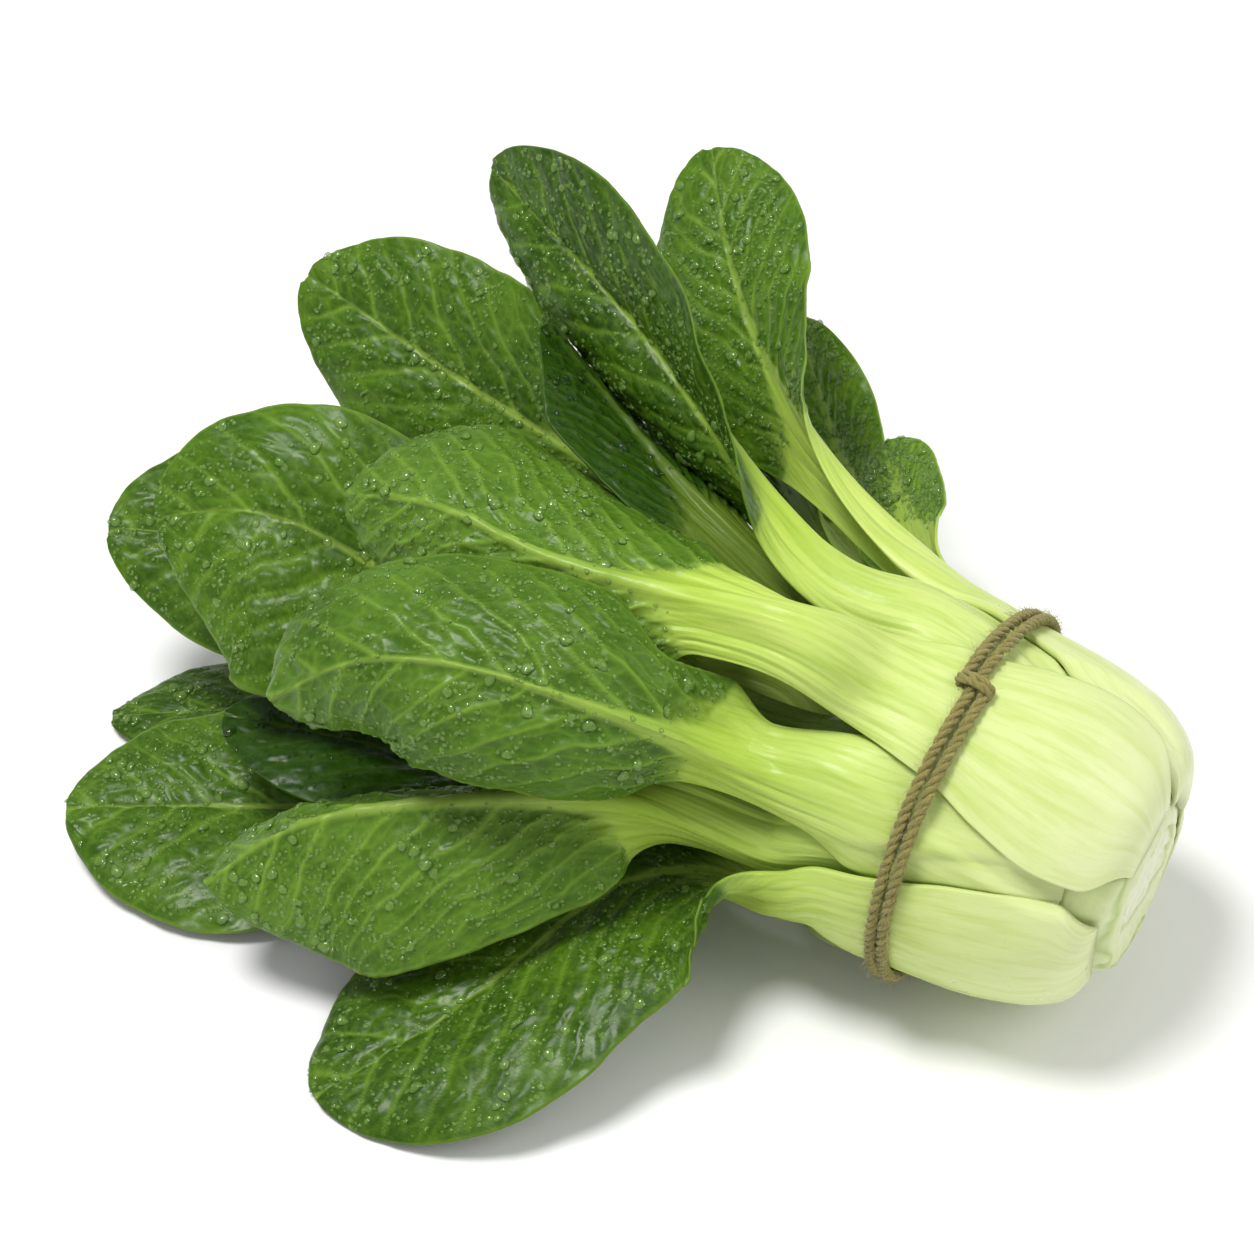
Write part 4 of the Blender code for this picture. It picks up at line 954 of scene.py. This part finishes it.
# loose fibres that stand off the twine
nf = 2200
for f in range(nf):
    k = int(rng.integers(3, len(at) - 3))
    a0 = rng.random() * 2 * pi
    rad_dir = na[k] * cos(a0) + nb[k] * sin(a0)
    side = -na[k] * sin(a0) + nb[k] * cos(a0)
    away = radial_dir = line[k] - (CUT + AXIS * ((line[k] - CUT) @ AXIS))
    away = away / np.linalg.norm(away)
    if rad_dir @ away < -0.15:
        rad_dir = rad_dir - 2 * (rad_dir @ away) * away
    length = rng.uniform(0.9, 2.6) * (1 + 0.9 * (rng.random() < 0.10))
    lean = rng.uniform(0.3, 0.95)
    sgn = 1 if rng.random() < 0.7 else -1
    d0 = tan[k] * sgn * lean + side * rng.uniform(-0.5, 0.9) + rad_dir * rng.uniform(0.15, 0.8)
    d0 /= np.linalg.norm(d0)
    bend = rng.normal(size=3) * 0.55
    sN = 6
    P = [line[k] + rad_dir * 0.95]
    for s in range(sN):
        d0 = d0 + bend / sN
        d0 /= np.linalg.norm(d0)
        P.append(P[-1] + d0 * length / sN)
    P = np.array(P)
    w0 = rng.uniform(0.028, 0.055)
    t1 = np.cross(d0, rad_dir + 0.01)
    t1 /= np.linalg.norm(t1)
    t2 = np.cross(d0, t1)
    wd = w0 * np.linspace(1, 0.35, sN + 1)
    ringp = np.stack([P + t1 * wd[:, None], P + t2 * wd[:, None], P - t1 * wd[:, None], P - t2 * wd[:, None]], 1)
    tv.append(ringp.reshape(-1, 3))
    for s in range(sN):
        for j in range(4):
            tq.append(np.array([[base + s * 4 + j, base + s * 4 + (j + 1) % 4, base + (s + 1) * 4 + (j + 1) % 4, base + (s + 1) * 4 + j]]))
    tq.append(np.array([[base + 3, base + 2, base + 1, base], [base + sN * 4, base + sN * 4 + 1, base + sN * 4 + 2, base + sN * 4 + 3]]))
    # loose fibres take the lighter, raised end of that painted ridge shading, varied at random
    g = rng.random()
    tcol.append(np.tile([0.6 + 0.4 * g, 0.5, g, 1], (ringp.shape[0] * 4, 1)))
    tuv.append(np.tile([g, 0.5], (ringp.shape[0] * 4, 1)))
    base += ringp.shape[0] * 4
twine = add_object('twine_visual', (rest_on_table(np.concatenate(tv)) - ORIGIN) * MM, np.concatenate(tq))
put_colour(twine, 'ridge_shading', np.concatenate(tcol))
put_uv(twine, np.concatenate(tuv))
T = Nodes('twine_jute')
ridge_shading, _g, tone, _a = T.split('ridge_shading')
uvt = T.new('ShaderNodeUVMap', uv_map='skin').outputs[0]
hair = T.noise(T.mapping(uvt, (60.0, 120.0, 1.0)), 1.0, 4.0, 0.65)
# the ramp mixes painted ridge shading (dark grooves, light ridges) with the jute's own streaky hair tone
jute = T.ramp(T.math('ADD', T.math('MULTIPLY', ridge_shading, 0.45), T.math('MULTIPLY', hair, 0.55)),
              [(0.2, (0.085, 0.07, 0.012)), (0.42, (0.22, 0.19, 0.038)), (0.62, (0.36, 0.32, 0.085)), (0.85, (0.56, 0.51, 0.20))])
jute = T.mix(T.range(tone, 0.2, 0.9, 0.0, 0.4), jute, (0.24, 0.20, 0.045))
T.set('Base Color', jute)
T.set('Roughness', 0.85)
T.set('Sheen Weight', 0.3)
T.nt.links.new(T.bump(hair, 0.6, 0.00025), T.bsdf.inputs['Normal'])
twine.data.materials.append(T.mat)
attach(twine, 'root')
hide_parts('twine')

# ---- floor, light, camera ----------------------------------------------------------------
def pane(name, size, at):
    me = bpy.data.meshes.new(name)
    h = size / 2
    me.from_pydata([(-h, -h, 0), (h, -h, 0), (h, h, 0), (-h, h, 0)], [], [(0, 1, 2, 3)])
    ob = bpy.data.objects.new(name, me)
    ob.location = at
    bpy.context.scene.collection.objects.link(ob)
    return ob


floor = pane('floor', 6.0, (0, 0, 0))
F = Nodes('floor_paper')
F.set('Base Color', F.mix(F.noise(F.new('ShaderNodeTexCoord').outputs['Object'], 30.0), (0.93, 0.93, 0.93), (0.95, 0.95, 0.95)))
F.set('Roughness', 0.9)
F.set('Specular IOR Level', 0.1)
floor.data.materials.append(F.mat)


def lamp(name, where, aim, size, power, colour=(1, 1, 1)):
    d = bpy.data.lights.new(name, 'AREA')
    d.shape = 'DISK'
    d.size = size
    d.energy = power
    d.color = colour
    o = bpy.data.objects.new(name, d)
    o.location = where
    o.rotation_euler = (Vector(aim) - Vector(where)).to_track_quat('-Z', 'Y').to_euler()
    bpy.context.scene.collection.objects.link(o)
    return o


aim = (0, 0, 0.05)
key_dir = np.array(OUT * 0.75 + UP * 0.70 - ACROSS * 0.30)
key_dir /= np.linalg.norm(key_dir)
lamp('key', tuple(key_dir * 1.3), aim, 0.42, 12.8, (1.0, 0.995, 0.98))
fill_dir = np.array(OUT * 0.7 + ACROSS * 0.7 + UP * 0.35)
fill_dir /= np.linalg.norm(fill_dir)
lamp('fill', tuple(fill_dir * 1.5), aim, 1.0, 5.0)

world = bpy.data.worlds.new('studio')
world.use_nodes = True
world.node_tree.nodes['Background'].inputs[0].default_value = (1.0, 1.0, 1.0, 1)
world.node_tree.nodes['Background'].inputs[1].default_value = 0.5
bpy.context.scene.world = world
bpy.context.scene.view_settings.view_transform = 'Standard'

target = (TIE - 67.6 * ACROSS + 33.8 * UP - ORIGIN) * MM
cam = bpy.data.cameras.new('camera')
cam.lens = 85
cam.sensor_width = 36
cam.clip_start = 0.01
camera = bpy.data.objects.new('camera', cam)
pos = target + OUT * 0.592
camera.matrix_world = Matrix(((ACROSS[0], UP[0], OUT[0], pos[0]), (ACROSS[1], UP[1], OUT[1], pos[1]),
                              (ACROSS[2], UP[2], OUT[2], pos[2]), (0, 0, 0, 1)))
bpy.context.scene.collection.objects.link(camera)
bpy.context.scene.camera = camera
